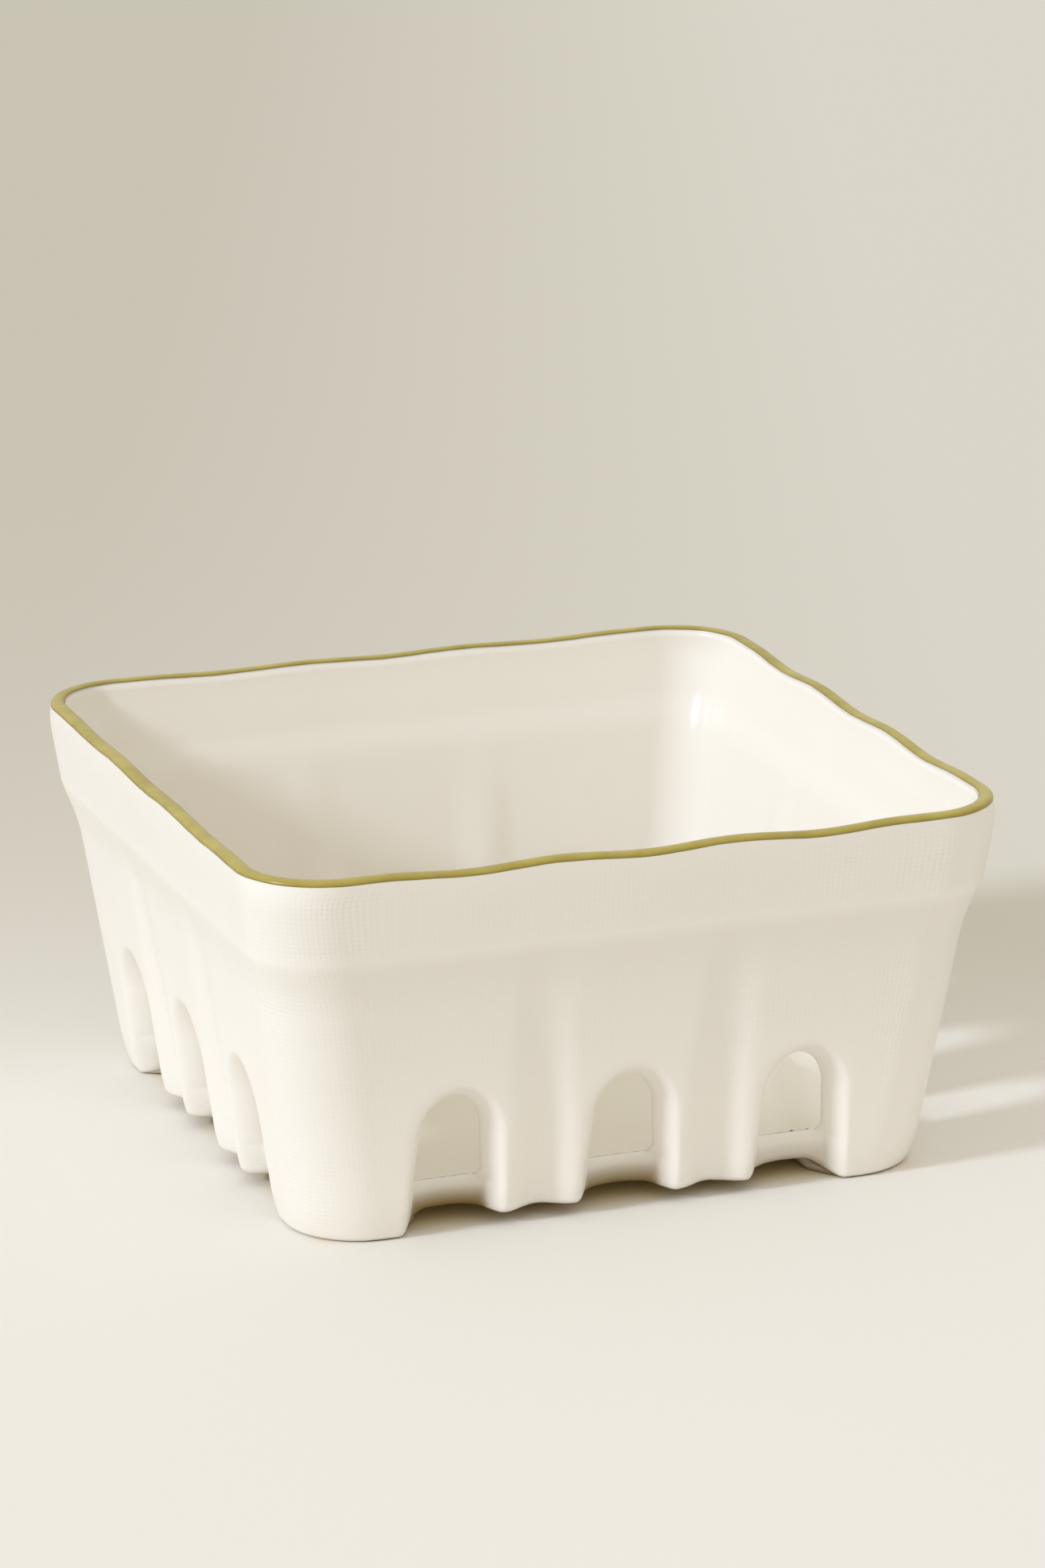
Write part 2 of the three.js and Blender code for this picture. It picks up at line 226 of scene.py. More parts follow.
@dataclass(frozen=True)
class BasketForm:
    """Sizes of the basket and the formulas of its surfaces, in millimetres.

    A place on the wall is given by the side, by t, the way along the side from its middle and on round the
    corner, by the height z and by the depth d below the outside of the plain wall.
    """

    height: float = 94.0
    lip_half: float = 95.5
    foot_half: float = 80.5
    corner_radius: float = 18.0
    lip_corner_radius: float = 20.8
    lip_ease: float = 0.5
    lip_ease_height: float = 8.0
    foot_ease: float = 1.0
    foot_ease_height: float = 10.0
    collar_step: float = 2.0
    step_low: float = 58.0
    step_high: float = 74.0
    step_powers: tuple[float, float] = (2.4, 1.6)
    inner_step_low: float = 66.0
    inner_step_high: float = 77.5
    collar_lean: float = 0.9
    lip_thickness: float = 3.8
    crown_power: float = 2.6
    foot_thickness: float = 9.0
    floor_top: float = 10.0
    floor_underside: float = 4.4
    floor_fillet: float = 6.0
    lip_wave: float = 0.5
    side_dip: tuple[float, ...] = (1.0, 1.0, 0.5, 0.4)
    band_drop: float = 1.3
    arch_pitch: float = 44.0
    flute_half_width: float = 9.0
    flute_depth: float = 3.6
    flute_fan: float = 0.12
    flute_fan_start: float = 25.0
    rib_share: float = 0.6
    foot_round: float = 1.2
    pier_round: float = 1.8
    pier_lift: float = 2.8
    foot_start: float = 52.2
    foot_end: float = 56.2

    @property
    def taper(self) -> float:
        """How much the half width grows for each millimetre of height."""
        return (self.lip_half - self.foot_half - self.collar_step) / self.height

    @property
    def lip_base(self) -> float:
        """Height where the crown of the lip starts."""
        return self.height - self.band_drop

    @property
    def arch_centres(self) -> Array:
        """Places of the three arches along a side."""
        return np.array([-1.0, 0.0, 1.0]) * self.arch_pitch

    @property
    def cell_end(self) -> float:
        """Place along a side where the last arch's stretch of wall ends and the corner starts."""
        return 1.5 * self.arch_pitch

    def step(self, z: Array, low: float, high: float) -> Array:
        """How far the collar's step stands out.

        With k the share of the way up the step and a and b the two powers, it is 1 - (1 - k^a)^b of its full
        size: it starts softly and ends in a tighter rounded edge under the collar.

        Args:
            z: Heights.
            low: Where the step starts.
            high: Where it ends.

        Returns:
            The step at each height.
        """
        k = even(low, high, z)
        start, end = self.step_powers
        return self.collar_step * (1.0 - (1.0 - k**start) ** end)

    def outer_half(self, z: Array) -> Array:
        """Half width of the outside: a straight taper, the collar's step and the soft ends of the wall.

        The wall draws in along parabolas under the lip and at the table.

        Args:
            z: Heights.

        Returns:
            Half widths.
        """
        step = self.step(z, self.step_low, self.step_high)
        top = self.lip_ease * np.clip((z - self.height) / self.lip_ease_height + 1.0, 0.0, 1.0) ** 2
        foot = self.foot_ease * np.clip(1.0 - z / self.foot_ease_height, 0.0, 1.0) ** 2
        return self.foot_half + self.taper * z + step - top - foot

    def radius(self, z: Array) -> Array:
        """Radius of the plan's corners: even up the wall, growing along a parabola to the lip's base."""
        share = even(self.height - self.lip_ease_height, self.lip_base, z)
        return self.corner_radius + (self.lip_corner_radius - self.corner_radius) * share**2

    def thickness(self, z: Array) -> Array:
        """Wall thickness, which shrinks evenly from the foot to the lip."""
        share = even(0.0, self.lip_base, z)
        return self.foot_thickness + (self.lip_thickness - self.foot_thickness) * share

    def flute(self, t: Array, z: Array) -> Array:
        """Depth of the flutes: a raised cosine across, fading evenly up to the collar step.

        Above the arches the flutes lean apart with the taper, by an even share of their distance.

        Args:
            t: Way along the side.
            z: Heights.

        Returns:
            Depths.
        """
        fan = even(self.flute_fan_start, self.step_high, z)
        place = self.arch_pitch / 2.0 * (1.0 + self.flute_fan * fan)
        away = np.abs(np.abs(t) - place) / self.flute_half_width
        across = 0.5 + 0.5 * np.cos(pi * np.clip(away, 0.0, 1.0))
        return self.flute_depth * across * np.clip(1.0 - np.asarray(z) / self.step_high, 0.0, 1.0)

    def wave(self, side: int, t: Array, z: Array) -> Array:
        """Rise of the lip: a cosine that dips above each arch and is high at the corners.

        Each side has its own share of the dips.

        Args:
            side: Number of the side.
            t: Way along the side.
            z: Heights.

        Returns:
            Rises, fading out down the collar.
        """
        share = even(self.step_high, self.height, z)
        along = np.minimum(np.abs(t), self.cell_end)
        dip = self.side_dip[side] * (1.0 + np.cos(2.0 * pi * along / self.arch_pitch))
        return self.lip_wave * share * (1.0 - dip)

    def crown(self, angle: Array, coat: Array | float) -> tuple[Array, Array]:
        """Height and depth of the lip's crown: half a superellipse, from the outside to the inside.

        Args:
            angle: Angle from the outside, 0 to pi.
            coat: How far the face lies behind the face of the glaze band.

        Returns:
            Height z and depth d.
        """
        mid, power = self.lip_thickness / 2.0, 2.0 / self.crown_power
        z = self.lip_base + (self.band_drop - coat) * np.abs(np.sin(angle)) ** power
        return z, mid - (mid - coat) * np.sign(np.cos(angle)) * np.abs(np.cos(angle)) ** power

    def run(self, z: Array) -> Array:
        """Way round the outside from the middle of one side to the middle of the next."""
        return 2.0 * (self.outer_half(z) - self.radius(z)) + self.radius(z) * pi / 2.0

    def place(self, side: int, t: Array, z: Array, d: Array) -> Array:
        """Turns a place on the wall into a point.

        Along the straight the point is (t, d - half). Round the corner it lies on an arc of radius R - d
        about the corner's centre, and past the arc it runs on along the next side. The whole is turned by
        a quarter for each side.

        Args:
            side: Number of the side, from 0 at the front, counted anticlockwise from above.
            t: Way along the side.
            z: Height.
            d: Depth below the outside of the plain wall.

        Returns:
            Points, with the three coordinates last.
        """
        t, z, d = np.broadcast_arrays(np.asarray(t, float), np.asarray(z, float), np.asarray(d, float))
        half, radius = self.outer_half(z), self.radius(z)
        straight = half - radius
        past = np.abs(t) - straight
        angle = np.clip(past / radius, 0.0, pi / 2.0)
        beyond = np.maximum(past - radius * pi / 2.0, 0.0)
        x = np.where(past < 0.0, np.abs(t), straight + (radius - d) * np.sin(angle))
        y = -straight - (radius - d) * np.cos(angle) + beyond
        x = np.sign(t) * x
        height = z + self.wave(side, t, z)
        turn_x, turn_y = cos(side * pi / 2.0), sin(side * pi / 2.0)
        return np.stack([x * turn_x - y * turn_y, x * turn_y + y * turn_x, height], -1)

    def lap(self, t: Array, z: Array, d: Array) -> Array:
        """Points of the same places on all sides, one side after the other along the columns."""
        return np.concatenate([self.place(side, t, z, d) for side in range(SIDES)], axis=1)

    def print_place(self, t: Array, z: Array) -> Array:
        """Place in the linen print, whose threads lean with the taper by the corners and run up them.

        With L and R the straight and the corner radius of the plan at a height and L', R' those at half
        height, the way is t (1 + (L'/L - 1) (t/L)^2) on the straight and L' + (t - L) R'/R on the corner. The
        second half of the corner mirrors the first.

        Args:
            t: Way along the side.
            z: Heights.

        Returns:
            Way along the print and height, last.
        """
        straight, radius = self.outer_half(z) - self.radius(z), self.radius(z)
        middle = np.array(self.height / 2.0)
        radius_mid = self.radius(middle)
        straight_mid = self.outer_half(middle) - radius_mid
        turned = np.abs(t) > 0.5 * self.run(z)
        near = np.where(turned, self.run(z) - np.abs(t), np.abs(t))
        flat = near * (1.0 + (straight_mid / straight - 1.0) * (near / straight) ** 2)
        way = np.where(near < straight, flat, straight_mid + (near - straight) * radius_mid / radius)
        way = np.sign(t) * np.where(turned, self.run(middle) - way, way)
        return np.stack(np.broadcast_arrays(way, z), -1)

    def inside(self, t: Array, w: Array, coat: float) -> tuple[Array, Array]:
        """Height and depth of the inside surface.

        The way w is the height down to the start of the floor's fillet. Below that it is the fillet's arc
        length, so the surface turns from the wall to the floor on a quarter circle. The collar's step lies a
        little higher inside than outside, and the collar leans back from it to the lip.

        Args:
            t: Way along the side.
            w: Way up the inside.
            coat: How far the surface lies behind the face of the lining glaze.

        Returns:
            Height z and depth d.
        """
        bend, radius = self.floor_top + self.floor_fillet, self.floor_fillet
        angle = np.clip((bend - w) / radius, 0.0, pi / 2.0)
        z = np.where(w > bend, w, bend - (radius + coat) * np.sin(angle))
        up = np.maximum(w, bend)
        low, high = self.inner_step_low, self.inner_step_high
        lag = self.step(up, self.step_low, self.step_high) - self.step(up, low, high)
        lean = self.collar_lean * even(self.lip_base, high, up) * smooth(low, high, up)
        wall = self.thickness(up) - coat + lag + lean
        rib = self.rib_share * self.flute(t, np.maximum(w, 0.0)) * np.cos(angle)
        return z, wall + (radius + coat) * (1.0 - np.cos(angle)) + rib

    def way_at(self, z: Array, coat: float) -> Array:
        """The way w up the inside at a height, the inverse of the height that inside gives.

        Args:
            z: Heights.
            coat: How far the surface lies behind the face of the lining glaze.

        Returns:
            Ways.
        """
        bend = self.floor_top + self.floor_fillet
        sunk = np.arcsin(np.clip((bend - z) / (self.floor_fillet + coat), 0.0, 1.0))
        return np.where(z > bend, z, bend - self.floor_fillet * sunk)

    @property
    def floor_way(self) -> float:
        """The way w at the edge of the flat floor."""
        return self.floor_top + self.floor_fillet * (1.0 - pi / 2.0)

    def foot_share(self, t: Array) -> Array:
        """1 on the corner feet and 0 on the piers, along a side."""
        return smooth(self.foot_start, self.foot_end, np.abs(t))


@dataclass(frozen=True)
class Arch:
    """One arched opening: an O-shaped grid from the hole's edge out to the stretch of wall round it.

    Attributes:
        form: The basket's sizes.
        centre: Place of the arch along its side.
        half_width: Half width of the hole where its crown starts.
        top: Height of the crown.
        rise: Height of the crown above its start, a half ellipse.
        splay: How much wider each half of the hole is at the table than at the crown's start.
        sill: Height of the sill.
        corner: Radius of the hole's lower corners.
        roll_width: Width of the rolled edge.
        roll_depth: Depth of the rolled edge.
        roll_powers: Powers of the roll's curve.
        plunge: Slope of the roll inside the outline and of the sill's face above the sill.
        face_depth: How far the middle of the sill's face lies behind the wall.
        face_bow: How much less deep that face is at its ends.
        edge_round: Radius of the sill's lower edge.
        edge_lip: How far above that edge the roll's outline ends, and the radius of the outline's corners.
        fillet: Reach of the soft hollow between the sill's face and the rolls beside it.
        sill_round: Radius of the sill's upper edge.
        sill_lift: Height of the sill's lower edge.
        sill_half: Half widths of the sill's level lower edge and of its even rounding.
        sill_edge: How far outside the ridges the sill's rise and its rounding start.
        ridge_inset: How far the ridges lie inside the roll's edge.
        cell_top: Height up to which the arch's stretch of wall reaches.
        middle: Height of the point that the grid's rays start from.
        least_wall: Least thickness that is left between the roll and the inside.
        ring_power: Power that draws the roll's rings towards the hole.
        outline_steps: Points on the outline's lower edge, corners, sides and crown.
    """

    form: BasketForm
    centre: float
    half_width: float = 7.7
    top: float = 34.0
    rise: float = 10.0
    splay: float = 2.2
    sill: float = 11.0
    corner: float = 2.4
    roll_width: float = 4.6
    roll_depth: float = 6.2
    roll_powers: tuple[float, float] = (1.8, 0.87)
    plunge: tuple[float, float] = (25.0, 6.0)
    face_depth: float = 7.4
    face_bow: float = 1.5
    edge_round: float = 2.4
    edge_lip: tuple[float, float] = (0.7, 1.2)
    fillet: float = 4.6
    sill_round: float = 2.0
    sill_lift: float = 3.8
    sill_half: tuple[float, float] = (4.5, 7.0)
    sill_edge: tuple[float, float] = (0.2, -1.0)
    ridge_inset: float = 0.3
    cell_top: float = 48.0
    middle: float = 20.0
    least_wall: float = 0.8
    ring_power: float = 1.35
    outline_steps: tuple[int, int, int, int] = (80, 60, 200, 400)
    side_steps: int = 26
    top_steps: int = 40
    base_steps: int = 48
    roll_steps: int = 14
    flat_steps: int = 7

    @property
    def spring(self) -> float:
        """Height where the round crown starts."""
        return self.top - self.rise

    @property
    def ridge(self) -> float:
        """Way from the middle of the arch to the ridges beside its sill, a little inside the roll's edge."""
        return self.half_width + self.roll_width + 0.5 * self.splay - self.ridge_inset

    def base_line(self) -> Array:
        """Places along the bottom edge of the arch's stretch of wall."""
        reach = self.form.arch_pitch / 2.0
        return np.linspace(-reach, reach, self.base_steps + 1)

    def base_lift(self, s: Array) -> Array:
        """Height of the wall's bottom edge: the feet, the lifted piers and the higher sill between them.

        Args:
            s: Places along the wall.

        Returns:
            Heights.
        """
        leg = np.where(np.sign(self.centre) * s > 0.0, 0.0, self.form.pier_lift)
        sill = smooth(self.ridge + self.sill_edge[0], self.sill_half[0], np.abs(s))
        return leg + (self.sill_lift - leg) * sill

    def base_round(self, s: Array) -> Array:
        """Radius of the bottom edge: small under the sill, larger on the piers and the feet.

        Args:
            s: Places along the wall.

        Returns:
            Radii.
        """
        foot = self.form.foot_share(self.centre + s)
        leg = self.form.pier_round + (self.form.foot_round - self.form.pier_round) * foot
        sill = smooth(self.ridge + self.sill_edge[1], self.sill_half[1], np.abs(s))
        return leg + (self.edge_round - leg) * sill

    def roll_way(self, s: Array, z: Array) -> Array:
        """Share of the way across the roll: 0 on the hole's outline, 1 on the plain wall.

        Beside the hole the way is level, from its splayed side. Over the crown it runs along the ray from the
        middle of the crown's ellipse.

        Args:
            s: Places along the wall.
            z: Heights.

        Returns:
            The share, below 0 inside the outline.
        """
        lean = self.splay * np.clip(1.0 - z / self.spring, 0.0, 1.0)
        low = (np.abs(s) - self.half_width - lean) / (self.roll_width - 0.5 * lean)
        ray = np.arctan2(z - self.spring, np.abs(s))
        wide, tall = self.half_width + self.roll_width, self.rise + self.roll_width
        near = 1.0 / np.hypot(np.cos(ray) / self.half_width, np.sin(ray) / self.rise)
        far = 1.0 / np.hypot(np.cos(ray) / wide, np.sin(ray) / tall)
        high = (np.hypot(z - self.spring, s) - near) / (far - near)
        return np.where(z > self.spring, high, low)

    def depth(self, s: Array, z: Array) -> Array:
        """Depth of the outside.

        With y the way across the roll and a and b its powers, the roll is 1 - (1 - (1 - y)^a)^b of its depth,
        and plunges inside the outline. The sill's face is a shallow bow with a quarter circle on its upper
        edge. Where the two meet they are eased by a soft minimum, and the flutes are added.

        Args:
            s: Places along the wall.
            z: Heights.

        Returns:
            Depths below the plain wall.
        """
        y = self.roll_way(s, z)
        start, end = self.roll_powers
        roll = self.roll_depth * (1.0 - (1.0 - np.clip(1.0 - y, 0.0, 1.0) ** start) ** end)
        roll = roll + self.plunge[0] * np.maximum(-y, 0.0)
        up = np.clip((z - self.sill + self.sill_round) / self.sill_round, 0.0, 1.0)
        face = self.face_depth - self.face_bow * (s / self.half_width) ** 2
        face = face + self.sill_round * (1.0 - np.sqrt(1.0 - up**2))
        face = face + self.plunge[1] * np.maximum(z - self.sill, 0.0)
        share = np.clip(0.5 + 0.5 * (face - roll) / self.fillet, 0.0, 1.0)
        eased = face + (roll - face) * share - self.fillet * share * (1.0 - share)
        return np.maximum(eased, 0.0) + self.form.flute(self.centre + s, z)

    def frame_ring(self, bottom: Array) -> tuple[Array, Array]:
        """Outer edge of the grid, from the lower left corner along the bottom and on anticlockwise.

        Args:
            bottom: Heights of the bottom edge at its left end, at each step and at its right end.

        Returns:
            Places s along the wall and heights.
        """
        reach, top = self.form.arch_pitch / 2.0, self.cell_top
        along = np.linspace(-reach, reach, self.base_steps + 1)[:-1]
        up = np.linspace(0.0, 1.0, self.side_steps + 1)[:-1]
        across = np.linspace(reach, -reach, self.top_steps + 1)[:-1]
        s = np.concatenate([along, np.full(len(up), reach), across, np.full(len(up), -reach)])
        right = bottom[-1] + (top - bottom[-1]) * up
        left = top + (bottom[0] - top) * up
        return s, np.concatenate([bottom[:-1], right, np.full(len(across), top), left])

    def outer_frame(self) -> tuple[Array, Array, Array]:
        """Outer edge of the grid on the outside, and the rays to it from the grid's middle.

        Returns:
            Places s along the wall, heights and ray angles.
        """
        base = self.base_line()
        s, z = self.frame_ring(self.base_lift(base) + self.base_round(base))
        return s, z, np.arctan2(z - self.middle, s)

    def outline(self, grow: float, low: float, corner: float) -> tuple[Array, Array]:
        """Outline of the hole, or of its rolled edge: splayed sides, a round crown and eased lower corners.

        Args:
            grow: How far the outline lies outside the hole.
            low: Height of its lower edge.
            corner: Radius of its lower corners.

        Returns:
            Ray angles from the grid's middle, rising, and the reach of the outline along each.
        """
        wide = self.half_width + grow
        lean = self.splay * (1.0 - (low + corner) / self.spring)
        level, bend, rising, crown = self.outline_steps
        turn, arc = np.linspace(-pi / 2.0, 0.0, bend), np.linspace(0.0, pi, crown)
        inner = wide + lean - corner
        s = [np.linspace(0.0, inner, level), inner + corner * np.cos(turn)]
        z = [np.full(level, low), low + corner + corner * np.sin(turn)]
        s += [np.linspace(wide + lean, wide, rising), wide * np.cos(arc)]
        z += [np.linspace(low + corner, self.spring, rising), self.spring + (self.rise + grow) * np.sin(arc)]
        s, z = np.concatenate(s), np.concatenate(z)
        s, z = np.concatenate([s, -s[::-1]]), np.concatenate([z, z[::-1]])
        angle, reach = np.arctan2(z - self.middle, s), np.hypot(z - self.middle, s)
        order = np.argsort(angle)
        return angle[order], reach[order]

    def ring_on(self, rays: Array, grow: float, low: float, corner: float) -> tuple[Array, Array]:
        """Where rays from the grid's middle meet an outline.

        Args:
            rays: Ray angles.
            grow: How far the outline lies outside the hole.
            low: Height of its lower edge.
            corner: Radius of its lower corners.

        Returns:
            Places s along the wall and heights.
        """
        angle, reach = self.outline(grow, low, corner)
        out = np.interp(rays, angle, reach, period=2.0 * pi)
        return out * np.cos(rays), self.middle + out * np.sin(rays)

    def outer_grid(self) -> tuple[Array, Array, Array]:
        """The outside round the arch.

        Rays from the middle of the hole carry rings that are close on the roll and wider on the wall outside
        it. The depth never comes nearer to the inside than a little, so the hole keeps a wall.

        Returns:
            Places s, heights z and depths d, rings by rays, from the hole's edge outwards.
        """
        frame_s, frame_z, rays = self.outer_frame()
        above, corner = self.edge_lip
        hole_s, hole_z = self.ring_on(rays, 0.0, self.sill, self.corner)
        roll_s, roll_z = self.ring_on(rays, self.roll_width, self.sill_lift + self.edge_round + above, corner)
        close = np.linspace(0.0, 1.0, self.roll_steps + 1)[:, None] ** self.ring_power
        on = np.linspace(0.0, 1.0, self.flat_steps + 1)[1:, None]
        s = np.concatenate([hole_s + (roll_s - hole_s) * close, roll_s + (frame_s - roll_s) * on])
        z = np.concatenate([hole_z + (roll_z - hole_z) * close, roll_z + (frame_z - roll_z) * on])
        _, cap = self.form.inside(self.centre + s, self.form.way_at(z, 0.0), 0.0)
        return s, z, np.minimum(self.depth(s, z), cap - self.least_wall)

    def inner_grid(self, coat: float, grow: Array | float, rings: int) -> tuple[Array, Array, Array]:
        """The inside round the arch, on straight rays from the hole's edge to the grid's frame.

        Args:
            coat: How far the surface lies behind the face of the lining glaze.
            grow: How far its edge is set back from the hole.
            rings: Number of rings.

        Returns:
            Places s, heights z and depths d, rings by rays, from the hole's edge outwards.
        """
        frame_s, frame_w = self.frame_ring(np.full(self.base_steps + 1, self.form.floor_way))
        rays = self.outer_frame()[2]
        hole_s, hole_z = self.ring_on(rays, 0.0, self.sill, self.corner)
        hole_s, hole_z = hole_s + grow * np.cos(rays), hole_z + grow * np.sin(rays)
        hole_w = self.form.way_at(hole_z, coat)
        on = np.linspace(0.0, 1.0, rings + 1)[:, None]
        s, w = hole_s + (frame_s - hole_s) * on, hole_w + (frame_w - hole_w) * on
        z, d = self.form.inside(self.centre + s, w, coat)
        return s, z, d


def make_arches(form: BasketForm) -> list[Arch]:
    """The three arches of a side."""
    return [Arch(form, float(centre)) for centre in form.arch_centres]


def lanes(form: BasketForm, steps: int, z: Array, corners_only: bool) -> Array:
    """Columns along one side: even steps over each arch, then even steps round the corner.

    Args:
        form: The basket's sizes.
        steps: Columns for each arch.
        z: Height of each row, rows x 1.
        corners_only: Whether only the corner's columns are wanted, with its last one.

    Returns:
        Places along the side, rows x columns.
    """
    share = np.linspace(0.0, 1.0, CORNER_STEPS + 1)
    corner = form.cell_end + (form.run(z) - 2.0 * form.cell_end) * share
    if corners_only:
        return corner
    cell = np.linspace(-0.5, 0.5, steps + 1)[:-1] * form.arch_pitch
    flat = (form.arch_centres[:, None] + cell).ravel()
    return np.concatenate([np.broadcast_to(flat, (len(z), len(flat))), corner[:, :-1]], axis=1)


@dataclass(frozen=True)
class InnerFace:
    """The inside of the basket, from the lip down to the middle of the floor.

    Attributes:
        form: The basket's sizes.
        coat: How far the face lies behind the face of the lining glaze.
        setback: How far its edges keep back from the arched holes.
        ragged: How far those edges wander.
        ragged_share: Share of the wandering beside and over the holes.
        ragged_sine: Sines of the ray's angle between which the wandering gets full, towards the sill.
        ragged_waves: Number of the longest waves round a hole.
        ragged_seed: Number that fixes the first arch's wandering.
        edge_power: Power with which the thin edge fades away from a hole.
        rings: Number of rings round each arch.
        wall_steps: Number of rows from the arches up to the lip.
        floor_steps: Number of rows from the edge of the floor to its middle.
        top_gap: How far below the lip's base the face ends.
    """

    form: BasketForm
    coat: float
    setback: float = 0.0
    ragged: float = 0.0
    ragged_share: float = 0.2
    ragged_sine: tuple[float, float] = (-0.1, -0.6)
    ragged_waves: float = 13.0
    ragged_seed: int = 11
    edge_power: int = 6
    rings: int = 6
    wall_steps: int = 12
    floor_steps: int = 7
    top_gap: float = 0.0

    def cell(self, side: int, arch: Arch, number: int) -> Sheet:
        """The face round one arch.

        Args:
            side: Number of the side.
            arch: The arch.
            number: Number of the arch on the whole basket, which seeds its ragged edge.

        Returns:
            The ring-shaped sheet.
        """
        rays = arch.outer_frame()[2]
        low = smooth(*self.ragged_sine, np.sin(rays))
        on_sill = self.ragged_share + (1.0 - self.ragged_share) * low
        wander = ripple(np.unwrap(rays), 2.0 * pi / self.ragged_waves, self.ragged_seed + number)
        s, z, d = arch.inner_grid(self.coat, self.setback + self.ragged * on_sill * wander, self.rings)
        edge = np.linspace(1.0, 0.0, self.rings + 1)[:, None] ** self.edge_power
        return Sheet(self.form.place(side, arch.centre + s, z, d), edge=edge, wrap=True)

    def strip(self, ways: Array, steps: int, corners_only: bool) -> list[Sheet]:
        """Rows of the wall between two ways up the inside, round the whole basket or on its corners alone.

        Args:
            ways: Ways up the inside, rising.
            steps: Columns for each arch.
            corners_only: Whether the stretches with arches are left out.

        Returns:
            One sheet round the basket, or one for each corner.
        """
        heights, _ = self.form.inside(np.zeros(1), ways[:, None], self.coat)
        t = lanes(self.form, steps, heights, corners_only)
        z, d = self.form.inside(t, np.broadcast_to(ways[:, None], t.shape), self.coat)
        if corners_only:
            return [Sheet(self.form.place(side, t, z, d), flip=True) for side in range(SIDES)]
        return [Sheet(self.form.lap(t, z, d), wrap=True, flip=True)]

    def floor(self, steps: int) -> Sheet:
        """The flat floor: the fillet's lower edge drawn in to the middle in even steps.

        Args:
            steps: Columns for each arch.

        Returns:
            The round sheet.
        """
        edge = self.strip(np.array([self.form.floor_way]), steps, False)[0].points
        share = np.linspace(1.0, 0.0, self.floor_steps + 1)[:, None, None]
        return Sheet(edge * np.concatenate([share, share, np.ones_like(share)], -1), wrap=True)

    def sheets(self) -> list[Sheet]:
        """Makes the inside: the face round each arch, the corners, the wall above and the floor.

        Returns:
            All sheets of the inside.
        """
        arches = make_arches(self.form)
        first = arches[0]
        found = [self.cell(side, arch, len(arches) * side + n)
                 for side in range(SIDES) for n, arch in enumerate(arches)]
        low = np.linspace(self.form.floor_way, first.cell_top, first.side_steps + 1)
        high = np.linspace(first.cell_top, self.form.lip_base - self.top_gap, self.wall_steps + 1)
        found += self.strip(low, first.top_steps, True) + self.strip(high, first.top_steps, False)
        return found + [self.floor(first.base_steps)]


